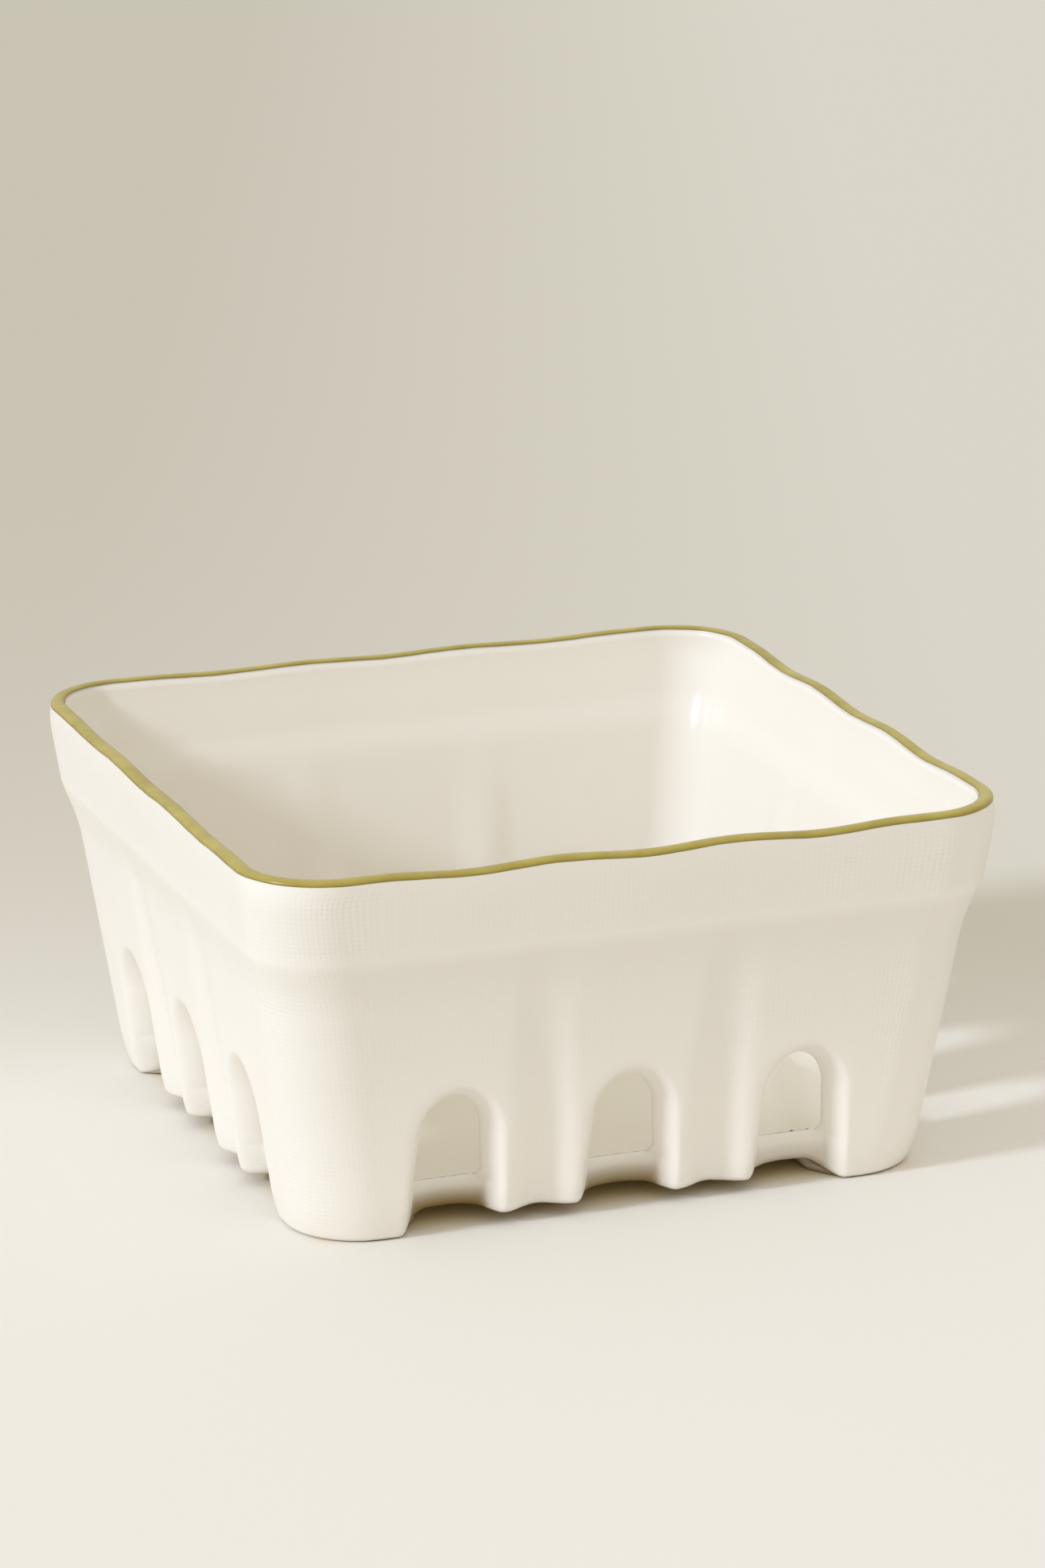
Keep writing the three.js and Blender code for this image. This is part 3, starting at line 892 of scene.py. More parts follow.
@dataclass
class StonewareBody:
    """The slip-cast casting: walls, rolled arches, flutes, corner feet and floor in one closed skin.

    Attributes:
        coat: How far its inside lies behind the face of the lining glaze, as lip_coat does at the band.
        roughness: How far its bottom edge wanders, with rough_wave as the longest wave.
        pad: Where the pads of the feet start and end, from the middle, as ring does for the piers.
        under_reach: Share of the way to the middle over which the underside's rows are close, then under_far.
        flat_weave: Strength of the print on the flats, where it is full on the corners.
        roll_weave: Strength of the print on the rolls, which is full at roll_fade of the way to the frame.
        highlight_turn: Half turns of the squared sine by which a painted highlight grows across a roll, above
            highlight_height.
        collar_bell: How far the worn edge, which also carries a painted highlight line, lies below the step's
            top, and its width.
        sill_shade_height: Heights between which painted shade in the clay colour grows down a sill's sunk face
            towards its lower edge, at depths in sill_shade_depth.
        bounce_light_height: Heights between which the wall is painted whiter towards its foot as painted
            bounce light, less so in x at bounce_light_left.
        bounce_light_share: Share of that painted light on the left side, and how much more it is elsewhere.
        clay_turn: Shares of the bottom edge's turn between which its unglazed clay shows.
        sole_bare: Share of the clay colour on the underside, half of it as painted shade on its slopes, and
            full unglazed clay where it stands lower than sole_height.
        sill_bare: How strong that painted shade is on each sill of each side, weakest on the lit left side.
        roll_highlight_share: How strong the painted highlight is on the rolls of each side, lower on the lit
            left side, as clay_share is for the clay on its bottom edge.
    """

    form: BasketForm
    coat: float = 0.25
    lip_coat: float = 0.06
    roughness: float = 0.08
    rough_wave: float = 7.0
    rough_seed: int = 31
    wall_steps: int = 26
    tunnel_steps: int = 3
    floor_steps: int = 3
    crown_steps: int = 8
    edge_steps: int = 5
    under_steps: int = 17
    pad: tuple[float, float] = (47.0, 51.5)
    ring: tuple[float, float] = (64.5, 68.5)
    under_reach: float = 0.38
    under_far: float = 0.6
    flat_weave: float = 0.65
    corner_weave: tuple[float, float] = (56.0, 74.0)
    roll_weave: float = 0.12
    roll_fade: float = 0.7
    highlight_turn: float = 0.8
    highlight_height: tuple[float, float] = (9.0, 14.0)
    collar_wear: float = 0.6
    collar_bell: tuple[float, float] = (0.4, 1.6)
    lip_fade: float = 3.0
    collar_highlight: float = 0.35
    sill_shade_height: tuple[float, float] = (13.0, 4.5)
    sill_shade_depth: tuple[float, float] = (3.5, 6.0)
    bounce_light_height: tuple[float, float] = (66.0, 8.0)
    bounce_light_left: tuple[float, float] = (-84.0, -62.0)
    bounce_light_share: tuple[float, float] = (0.15, 0.75)
    clay_turn: tuple[float, float] = (0.4, 0.8)
    sole_height: tuple[float, float] = (1.5, 0.4)
    sole_bare: float = 0.5
    sill_bare: tuple[tuple[float, ...], ...] = (
        (1.0, 0.95, 0.4), (0.7, 0.8, 0.6), (0.8, 0.6, 0.7), (0.3, 0.25, 0.2))
    roll_highlight_share: tuple[float, ...] = (1.0, 1.0, 1.0, 0.7)
    # The clay on the bottom edge is weaker on the lit left side, which paints that edge lighter where the
    # light falls.
    clay_share: tuple[float, ...] = (1.0, 1.0, 1.0, 0.35)

    def collar_edge(self, z: Array) -> Array:
        """Share of the collar's lower edge, a bell about the top of the step."""
        drop, width = self.collar_bell
        return np.exp(-(((z - self.form.step_high + drop) / width) ** 2))

    def sill_painted_shade(self, z: Array, d: Array) -> Array:
        """Share of painted shade, in the clay colour, on a sill's sunk face, which grows towards its lower
        edge.
        """
        return smooth(*self.sill_shade_height, z) * smooth(*self.sill_shade_depth, d)

    def outside(self, side: int, place: tuple[Array, Array, Array], weave: Array | float, painted_light: Array,
                **more: Any) -> Sheet:
        """A stretch of the outside, with its print and painted light: whiter towards its foot as painted
        bounce light, less so on the lit left side.

        The print is full on the corners, weaker on the flats and the collar's edge, and fades out by the lip.

        Args:
            side: Number of the side.
            place: Way t along the side, height z and depth d.
            weave: Further share of the print.
            painted_light: Share of painted highlight, on the rolls and the collar's edge.
            more: Further values of the sheet.

        Returns:
            The sheet.
        """
        form, (t, z, d) = self.form, place
        points = form.place(side, t, z, d)
        bend = np.minimum(np.abs(t), form.run(z) - np.abs(t))
        full = self.flat_weave + (1.0 - self.flat_weave) * smooth(*self.corner_weave, bend)
        worn = 1.0 - self.collar_wear * self.collar_edge(z)
        weave = weave * full * worn * smooth(form.lip_base, form.lip_base - self.lip_fade, z)
        # Painted bounce light: the glaze is mixed whiter towards the foot, less so on the lit left side.
        run = self.bounce_light_share[0] + self.bounce_light_share[1] * smooth(*self.bounce_light_left, points[..., 0])
        painted_light = np.maximum(painted_light, smooth(*self.bounce_light_height, points[..., 2]) * run)
        return Sheet(points, weave=weave, edge=painted_light, print_uv=form.print_place(t, z), **more)

    def arch_outside(self, side: int, arch: Arch, thin: float) -> Sheet:
        """The outside round one arch, with the print fading out on the roll, a painted highlight across the
        roll and a given painted shade on the sill.

        Args:
            side: Number of the side.
            arch: The arch.
            thin: Strength of the painted shade on the sill.

        Returns:
            The ring-shaped sheet.
        """
        s, z, d = arch.outer_grid()
        # Painted highlight across the roll, strongest partway across it and weaker on the lit left side.
        roll = np.sin(self.highlight_turn * pi * np.linspace(1.0, 0.0, arch.roll_steps + 1)) ** 2
        roll = np.concatenate([roll, np.zeros(arch.flat_steps)])[:, None] * smooth(*self.highlight_height, z)
        off = np.concatenate([np.zeros(arch.roll_steps), np.linspace(0.0, 1.0, arch.flat_steps + 1)])
        weave = self.roll_weave + (1.0 - self.roll_weave) * smooth(0.0, self.roll_fade, off)[:, None]
        # The sill's sunk face gets painted shade in the clay colour.
        return self.outside(side, (arch.centre + s, z, d), weave, roll * self.roll_highlight_share[side],
                            bare=thin * self.sill_painted_shade(z, d), wrap=True, flip=True)

    def tunnel(self, side: int, arch: Arch) -> Sheet:
        """The straight part of the hole, between the roll and the inside.

        Args:
            side: Number of the side.
            arch: The arch.

        Returns:
            The sheet.
        """
        ends = []
        for s, z, d in (arch.outer_grid(), arch.inner_grid(self.coat, 0.0, 1)):
            ends.append(self.form.place(side, arch.centre + s[0], z[0], d[0]))
        share = np.linspace(0.0, 1.0, self.tunnel_steps + 1)[:, None, None]
        return Sheet(ends[0] + (ends[1] - ends[0]) * share, wrap=True)

    def corner_outside(self, side: int, arch: Arch) -> Sheet:
        """The outside of one corner, between the arches of two sides.

        Args:
            side: Number of the side.
            arch: An arch of the side, for the steps of its grid.

        Returns:
            The sheet.
        """
        z = np.linspace(self.form.foot_round, arch.cell_top, arch.side_steps + 1)[:, None]
        t = lanes(self.form, arch.top_steps, z, True)
        plain = np.zeros(t.shape)
        return self.outside(side, (t, np.broadcast_to(z, t.shape), plain), 1.0, plain)

    def upper_wall(self, side: int, arch: Arch) -> Sheet:
        """The outside of one side above its arches, with the flutes running out at the collar's step.

        Args:
            side: Number of the side.
            arch: An arch of the side, for the steps of its grid.

        Returns:
            The sheet.
        """
        z = np.linspace(arch.cell_top, self.form.lip_base, self.wall_steps + 1)[:, None]
        t = lanes(self.form, arch.top_steps, z, False)
        t = np.concatenate([t, self.form.run(z) - self.form.cell_end], axis=1)
        z = np.broadcast_to(z, t.shape)
        # The collar's edge gets a painted highlight line as well as a worn print.
        return self.outside(side, (t, z, self.form.flute(t, z)), 1.0, self.collar_highlight * self.collar_edge(z))

    def crown(self, arch: Arch) -> Sheet:
        """The lip under its glaze band, set in by the coat.

        Args:
            arch: An arch, for the steps of its grid.

        Returns:
            The sheet round the basket.
        """
        form = self.form
        angle = np.linspace(0.0, pi, self.crown_steps + 1)[:, None]
        z, d = form.crown(angle, self.lip_coat + (self.coat - self.lip_coat) * angle / pi)
        z, d = np.concatenate([[[form.lip_base]], z]), np.concatenate([[[0.0]], d])
        t = lanes(form, arch.top_steps, z, False)
        return Sheet(form.lap(t, z, d), wrap=True)

    def underside(self, arches: list[Arch]) -> list[Sheet]:
        """The bottom edge and the underside.

        The edge is a quarter circle from the wall to the lift of each place. From there every point is drawn
        in to the middle, and rises from its lift to the floor's underside past the ring of piers or the pads
        of the feet.

        Args:
            arches: The arches of a side.

        Returns:
            The rounded edge and the underside.
        """
        form = self.form
        line, none = arches[0].base_line()[:-1], np.zeros(CORNER_STEPS)
        lift = np.concatenate([arch.base_lift(line) for arch in arches] + [none])
        wander = [ripple(line, self.rough_wave, self.rough_seed + n) for n in range(len(arches))]
        rough = self.roughness * (1.0 + np.concatenate(wander + [none]))
        radius = np.concatenate([arch.base_round(line) for arch in arches] + [none + form.foot_round])
        depth = [arch.depth(line, arch.base_lift(line) + arch.base_round(line)) for arch in arches]
        angle = np.linspace(0.0, pi / 2.0, self.edge_steps + 1)[:, None]
        z = lift + radius * (1.0 - np.sin(angle)) + rough * np.sin(angle) ** 2
        t = lanes(form, len(line), z[:, -1:], False)
        d = np.concatenate(depth + [none]) + radius * (1.0 - np.cos(angle))
        edge = form.lap(t, z, d)
        # Painted shade in the clay colour on the sills' bottom edges, weakest on the lit left side.
        thin = [np.concatenate([np.repeat(bare, len(line)), none]) for bare in self.sill_bare]
        sill_shade = np.concatenate(thin) * np.tile(self.sill_painted_shade(z, d), SIDES)
        # Unglazed clay on the bottom edge, weaker on the lit left side as painted light.
        clay = smooth(*self.clay_turn, angle / (pi / 2.0)) * np.repeat(self.clay_share, len(lift))
        close = np.linspace(0.0, self.under_reach, self.under_steps)
        share = np.concatenate([close, [self.under_far, 1.0]])[:, None]
        x, y = edge[-1, :, 0] * (1.0 - share), edge[-1, :, 1] * (1.0 - share)
        pad = smooth(*self.pad, np.abs(x)) * smooth(*self.pad, np.abs(y))
        pier = smooth(*self.ring, np.maximum(np.abs(x), np.abs(y)))
        foot = np.tile(form.foot_share(t[-1]), SIDES)
        reach = np.where(share == 0.0, 1.0, foot * pad + (1.0 - foot) * pier)
        low = form.floor_underside - (form.floor_underside - np.tile(lift + rough, SIDES)) * reach
        # The underside's slopes get half the clay colour as painted shade; where it stands low it is unglazed
        # clay.
        bare = self.sole_bare + (1.0 - self.sole_bare) * smooth(*self.sole_height, low)
        return [Sheet(edge, bare=np.maximum(clay, sill_shade), wrap=True, flip=True),
                Sheet(np.stack([x, y, low], -1), bare=bare, wrap=True, flip=True)]

    def build(self) -> bpy.types.Object:
        """Sews all sheets into the casting.

        Returns:
            The casting's object.
        """
        arches = make_arches(self.form)
        sheets = []
        for side in range(SIDES):
            # Each sill's painted shade strength.
            for arch, thin in zip(arches, self.sill_bare[side]):
                sheets += [self.arch_outside(side, arch, thin), self.tunnel(side, arch)]
            sheets += [self.corner_outside(side, arches[0]), self.upper_wall(side, arches[0])]
        sheets += [self.crown(arches[0])] + self.underside(arches)
        sheets += InnerFace(self.form, self.coat, floor_steps=self.floor_steps).sheets()
        return Skin("stoneware_casting", sheets).to_object()

    def dress(self, piece: bpy.types.Object) -> None:
        """Gives the casting its finish and its place in the frame."""
        settle(piece, Slot.STONEWARE, LinenStoneware().material())


def thicken(piece: bpy.types.Object, thickness: float) -> bpy.types.Object:
    """Gives a glaze's face its thickness towards the casting.

    Args:
        piece: The glaze's object.
        thickness: Thickness in millimetres.

    Returns:
        The same object.
    """
    coat = piece.modifiers.new("coat", "SOLIDIFY")
    coat.thickness, coat.offset = thickness * MM, -1.0
    return piece


@dataclass
class LinerGlaze:
    """The gloss glaze poured over the inside, which ends in ragged edges round the holes."""

    form: BasketForm
    thickness: float = 0.2
    setback: float = 0.7
    ragged: float = 0.28
    overlap: float = 0.4
    rings: int = 10
    wall_steps: int = 28

    def build(self) -> bpy.types.Object:
        """Makes the glaze's face, which runs on under the band, and gives it its thickness.

        Returns:
            The lining's object.
        """
        face = InnerFace(self.form, 0.0, self.setback, self.ragged, rings=self.rings,
                         wall_steps=self.wall_steps, top_gap=-self.overlap)
        return thicken(Skin("lining_glaze", face.sheets()).to_object(), self.thickness)

    def dress(self, piece: bpy.types.Object) -> None:
        """Gives the lining its finish and its place in the frame."""
        settle(piece, Slot.LINER, LiningGlaze().material())


@dataclass
class RimBand:
    """The olive glaze brushed over the lip, a shell over its crown with edges that wander a little."""

    form: BasketForm
    thickness: float = 0.05
    outside_start: float = 0.05
    inside_end: float = 0.56
    inset: float = 0.006
    wander: float = 0.05
    wander_waves: tuple[float, float] = (61.0, 47.0)
    wander_seeds: tuple[int, int] = (5, 6)
    pool_power: int = 3
    lap_fade: float = 14.0
    steps: int = 20
    arch_steps: int = 80

    def build(self) -> bpy.types.Object:
        """Makes the band.

        Rows run over the crown from an angle near its outside to one near its inside. Both angles wander
        along the lip, and the wandering fades out where the ends of the lap meet.

        Returns:
            The band's object.
        """
        form = self.form
        t = lanes(form, self.arch_steps, np.array([[form.lip_base]]), False)
        lap = float(form.run(form.lip_base))
        way = np.concatenate([t + side * lap for side in range(SIDES)], axis=1) + form.cell_end
        fade = smooth(0.0, self.lap_fade, way) * smooth(SIDES * lap, SIDES * lap - self.lap_fade, way)
        waves = [self.wander * fade * ripple(way, wave, seed)
                 for wave, seed in zip(self.wander_waves, self.wander_seeds)]
        start, end = self.outside_start + waves[0], pi - self.inside_end - waves[1]
        share = np.linspace(0.0, 1.0, self.steps + 1)[:, None]
        z, d = form.crown(start + (end - start) * share, self.inset)
        columns = np.broadcast_to(np.tile(t, (1, SIDES)), z.shape)
        parts = np.split(np.arange(z.shape[1]), SIDES)
        places = [form.place(side, columns[:, part], z[:, part], d[:, part])
                  for side, part in enumerate(parts)]
        pool = np.abs(2.0 * share - 1.0) ** self.pool_power
        sheet = Sheet(np.concatenate(places, axis=1), edge=pool, wrap=True)
        return thicken(Skin("lip_glaze", [sheet]).to_object(), self.thickness)

    def dress(self, piece: bpy.types.Object) -> None:
        """Gives the band its finish and its place in the frame."""
        settle(piece, Slot.RIM, OliveLipGlaze().material())


def settle(piece: bpy.types.Object, slot: Slot, material: bpy.types.Material) -> None:
    """Dresses a piece and lets it stand for its node.

    Args:
        piece: The piece.
        slot: Its material slot, which is also the name of its node.
        material: Its finish.
    """
    piece.data.materials.append(material)
    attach(piece, BODY)
    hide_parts(slot.value)


def linear(code: str) -> tuple[float, float, float, float]:
    """Turns an sRGB hex colour into linear light.

    Args:
        code: Colour such as "#ffffff".

    Returns:
        Red, green, blue and an alpha of 1.
    """
    values = np.array([int(code[i : i + 2], 16) for i in (1, 3, 5)]) / 255.0
    light = np.where(values <= 0.04045, values / 12.92, ((values + 0.055) / 1.055) ** 2.4)
    return (float(light[0]), float(light[1]), float(light[2]), 1.0)


def fineness(size_mm: float) -> float:
    """Scale of a noise whose lumps have a size in millimetres."""
    return 1.0 / (size_mm * MM)


def add_node(tree: bpy.types.NodeTree, kind: str, settings: dict[str, Any],
             inputs: dict[Any, Any]) -> bpy.types.Node:
    """Adds one node.

    Args:
        tree: Node tree of the material.
        kind: Blender's name of the node type.
        settings: Attributes to set on the node.
        inputs: Values or output sockets for its input sockets, by name or number.

    Returns:
        The node.
    """
    node = tree.nodes.new(kind)
    for name, value in settings.items():
        setattr(node, name, value)
    for key, value in inputs.items():
        if isinstance(value, bpy.types.NodeSocket):
            tree.links.new(value, node.inputs[key])
        else:
            node.inputs[key].default_value = value
    return node


def new_tree(name: str) -> tuple[bpy.types.Material, bpy.types.NodeTree]:
    """Makes a material with an empty node tree.

    Args:
        name: Name of the material.

    Returns:
        The material and its tree.
    """
    material = bpy.data.materials.new(name)
    material.use_nodes = True
    material.node_tree.nodes.clear()
    return material, material.node_tree


@dataclass(frozen=True)
class LinenStoneware:
    """Satin-glazed stoneware with a linen cloth pressed into its clay.

    The glaze evens out the print, so the threads show only as a faint grid. Painted highlights make it whiter
    on the rolled edges and the collar's edge, painted bounce light makes it whiter towards the foot, and the
    clay colour also serves as painted shade on the sills and underneath.
    The real threads are finer than the render can show, so thread_mm draws them coarser.
    """

    glaze: str = "#eae6de"
    hollow: str = "#ded8cc"
    # Painted light: a white mixed in as painted highlights on the rolls and the collar's edge and as painted
    # bounce light towards the foot.
    painted_light_white: str = "#f5f1e9"
    # Bare clay, darkened so that it also serves as painted shade on the sills and under the basket.
    clay: str = "#86703f"
    roughness: float = 0.34
    ior: float = 1.5
    clay_roughness: float = 0.85
    thread_mm: float = 1.2
    slub_mm: float = 7.0
    slub_drift: float = 1.6
    press_low: float = 0.3
    press_high: float = 0.7
    least_press: float = 0.45
    open_low: float = 0.4
    open_high: float = 0.6
    least_open: float = 0.6
    relief_mm: float = 0.08
    print_share: float = 0.19
    painted_light_share: float = 0.8
    pool_mm: float = 26.0
    pool_share: float = 0.35
    pool_offset: float = -0.08
    grit_mm: float = 0.9
    grit_relief_mm: float = 0.08
    grit_strength: float = 0.12

    def material(self) -> bpy.types.Material:
        """Makes the material.

        Returns:
            The material.
        """
        material, tree = new_tree("linen_pressed_satin_stoneware")
        uv = add_node(tree, "ShaderNodeUVMap", {"uv_map": "print"}, {})
        place = add_node(tree, "ShaderNodeTexCoord", {}, {})
        strength = add_node(tree, "ShaderNodeAttribute", {"attribute_name": Mask.WEAVE.value}, {})
        bare = add_node(tree, "ShaderNodeAttribute", {"attribute_name": Mask.BARE.value}, {})
        worn = add_node(tree, "ShaderNodeAttribute", {"attribute_name": Mask.EDGE.value}, {})
        slub = add_node(tree, "ShaderNodeTexNoise", {"noise_dimensions": "2D"},
                        {"Vector": uv.outputs[0], "Scale": fineness(self.slub_mm), "Detail": 3.0})
        apart = add_node(tree, "ShaderNodeSeparateColor", {}, {0: slub.outputs["Color"]})
        across = add_node(tree, "ShaderNodeSeparateXYZ", {}, {0: uv.outputs[0]})
        ribs = self.threads(tree, across.outputs[0], apart.outputs[0])
        wefts = self.threads(tree, across.outputs[1], apart.outputs[1])
        cloth = add_node(tree, "ShaderNodeMix", {"data_type": "FLOAT"}, {0: 0.5, 2: ribs, 3: wefts})
        uneven = add_node(tree, "ShaderNodeMapRange", {},
                          {0: apart.outputs[2], 1: self.press_low, 2: self.press_high,
                           3: self.least_press, 4: 1.0})
        pool = add_node(tree, "ShaderNodeTexNoise", {},
                        {"Vector": place.outputs["Object"], "Scale": fineness(self.pool_mm), "Detail": 3.0})
        filled = add_node(tree, "ShaderNodeMapRange", {},
                          {0: pool.outputs[0], 1: self.open_low, 2: self.open_high,
                           3: 1.0, 4: self.least_open})
        faint = add_node(tree, "ShaderNodeMath", {"operation": "MULTIPLY"},
                         {0: uneven.outputs[0], 1: filled.outputs[0]})
        press = add_node(tree, "ShaderNodeMath", {"operation": "MULTIPLY"},
                         {0: strength.outputs["Fac"], 1: faint.outputs[0]})
        level = add_node(tree, "ShaderNodeMath", {"operation": "MULTIPLY"},
                         {0: cloth.outputs[0], 1: press.outputs[0]})
        shade = add_node(tree, "ShaderNodeMath", {"operation": "MULTIPLY_ADD"},
                         {0: pool.outputs[0], 1: self.pool_share, 2: self.pool_offset})
        ground = add_node(tree, "ShaderNodeMix", {"data_type": "RGBA"},
                          {0: shade.outputs[0], 6: linear(self.glaze), 7: linear(self.hollow)})
        pressed = add_node(tree, "ShaderNodeMath", {"operation": "MULTIPLY"},
                           {0: level.outputs[0], 1: self.print_share})
        woven = add_node(tree, "ShaderNodeMix", {"data_type": "RGBA"},
                         {0: pressed.outputs[0], 6: ground.outputs[2], 7: linear(self.hollow)})
        # Painted highlights and painted bounce light, read from the EDGE mask.
        rub = add_node(tree, "ShaderNodeMath", {"operation": "MULTIPLY"},
                       {0: worn.outputs["Fac"], 1: self.painted_light_share})
        painted_light_mix = add_node(tree, "ShaderNodeMix", {"data_type": "RGBA"},
                         {0: rub.outputs[0], 6: woven.outputs[2], 7: linear(self.painted_light_white)})
        grit = add_node(tree, "ShaderNodeTexNoise", {},
                        {"Vector": place.outputs["Object"], "Scale": fineness(self.grit_mm), "Detail": 2.0})
        colour = add_node(tree, "ShaderNodeMix", {"data_type": "RGBA"},
                          {0: bare.outputs["Fac"], 6: painted_light_mix.outputs[2], 7: linear(self.clay)})
        rough = add_node(tree, "ShaderNodeMapRange", {},
                         {0: bare.outputs["Fac"], 3: self.roughness, 4: self.clay_roughness})
        skin = add_node(tree, "ShaderNodeBump", {},
                        {"Strength": self.grit_strength, "Distance": self.grit_relief_mm * MM,
                         "Height": grit.outputs[0]})
        bump = add_node(tree, "ShaderNodeBump", {"invert": True},
                        {"Strength": 1.0, "Distance": self.relief_mm * MM, "Height": level.outputs[0],
                         "Normal": skin.outputs[0]})
        shader = add_node(tree, "ShaderNodeBsdfPrincipled", {},
                          {"Base Color": colour.outputs[2], "Roughness": rough.outputs[0], "IOR": self.ior,
                           "Normal": bump.outputs[0]})
        add_node(tree, "ShaderNodeOutputMaterial", {}, {"Surface": shader.outputs[0]})
        return material

    def threads(self, tree: bpy.types.NodeTree, way: Any, wander: Any) -> Any:
        """Hollows between threads: half a cosine wave of the way across them, which wanders with the slubs.

        Args:
            tree: Node tree of the material.
            way: Socket with the way across the threads.
            wander: Socket with the slubs.

        Returns:
            Socket with 0 on a thread and 1 between threads.
        """
        drift = add_node(tree, "ShaderNodeMath", {"operation": "MULTIPLY"}, {0: wander, 1: self.slub_drift})
        phase = add_node(tree, "ShaderNodeMath", {"operation": "MULTIPLY_ADD"},
                         {0: way, 1: 2.0 * pi / (self.thread_mm * MM), 2: drift.outputs[0]})
        wave = add_node(tree, "ShaderNodeMath", {"operation": "COSINE"}, {0: phase.outputs[0]})
        half = add_node(tree, "ShaderNodeMath", {"operation": "MULTIPLY_ADD"},
                        {0: wave.outputs[0], 1: 0.5, 2: 0.5})
        return half.outputs[0]


@dataclass(frozen=True)
class LiningGlaze:
    """Poured gloss glaze: warm white, smooth, with faint clouds where it lies thicker, and painted shade that
    darkens it low on the floor.
    """

    glaze: str = "#eeeae2"
    cloud: str = "#e8e3d8"
    thin: str = "#a8946c"
    # Painted shade on the low floor inside.
    painted_floor_shade: str = "#e5e0d2"
    roughness: float = 0.15
    roughness_spread: float = 0.08
    gloss: float = 0.2
    ior: float = 1.52
    cloud_mm: float = 34.0
    cloud_share: float = 0.5
    cloud_offset: float = -0.05
    floor_shade_low_mm: float = 10.8
    floor_shade_high_mm: float = 15.0
    thin_share: float = 0.8
    peel_mm: float = 7.0
    peel_relief_mm: float = 0.25
    peel_strength: float = 0.12

    def material(self) -> bpy.types.Material:
        """Makes the material.

        Returns:
            The material.
        """
        material, tree = new_tree("poured_gloss_lining_glaze")
        place = add_node(tree, "ShaderNodeTexCoord", {}, {})
        worn = add_node(tree, "ShaderNodeAttribute", {"attribute_name": Mask.EDGE.value}, {})
        cloud = add_node(tree, "ShaderNodeTexNoise", {},
                         {"Vector": place.outputs["Object"], "Scale": fineness(self.cloud_mm), "Detail": 3.0})
        share = add_node(tree, "ShaderNodeMath", {"operation": "MULTIPLY_ADD"},
                         {0: cloud.outputs[0], 1: self.cloud_share, 2: self.cloud_offset})
        ground = add_node(tree, "ShaderNodeMix", {"data_type": "RGBA"},
                          {0: share.outputs[0], 6: linear(self.glaze), 7: linear(self.cloud)})
        # Painted shade: darker below a height on the floor.
        spot = add_node(tree, "ShaderNodeSeparateXYZ", {}, {0: place.outputs["Object"]})
        low = add_node(tree, "ShaderNodeMapRange", {"interpolation_type": "SMOOTHSTEP"},
                       {0: spot.outputs[2], 1: self.floor_shade_low_mm * MM, 2: self.floor_shade_high_mm * MM,
                        3: 1.0, 4: 0.0})
        floor_shaded = add_node(tree, "ShaderNodeMix", {"data_type": "RGBA"},
                           {0: low.outputs[0], 6: ground.outputs[2], 7: linear(self.painted_floor_shade)})
        rub = add_node(tree, "ShaderNodeMath", {"operation": "MULTIPLY"},
                       {0: worn.outputs["Fac"], 1: self.thin_share})
        colour = add_node(tree, "ShaderNodeMix", {"data_type": "RGBA"},
                          {0: rub.outputs[0], 6: floor_shaded.outputs[2], 7: linear(self.thin)})
        peel = add_node(tree, "ShaderNodeTexNoise", {},
                        {"Vector": place.outputs["Object"], "Scale": fineness(self.peel_mm), "Detail": 1.0})
        bump = add_node(tree, "ShaderNodeBump", {},
                        {"Strength": self.peel_strength, "Distance": self.peel_relief_mm * MM,
                         "Height": peel.outputs[0]})
        rough = add_node(tree, "ShaderNodeMapRange", {},
                         {0: cloud.outputs[0], 3: self.roughness, 4: self.roughness + self.roughness_spread})
        shader = add_node(tree, "ShaderNodeBsdfPrincipled", {},
                          {"Base Color": colour.outputs[2], "Roughness": rough.outputs[0], "IOR": self.ior,
                           "Specular IOR Level": self.gloss, "Normal": bump.outputs[0]})
        add_node(tree, "ShaderNodeOutputMaterial", {}, {"Surface": shader.outputs[0]})
        return material


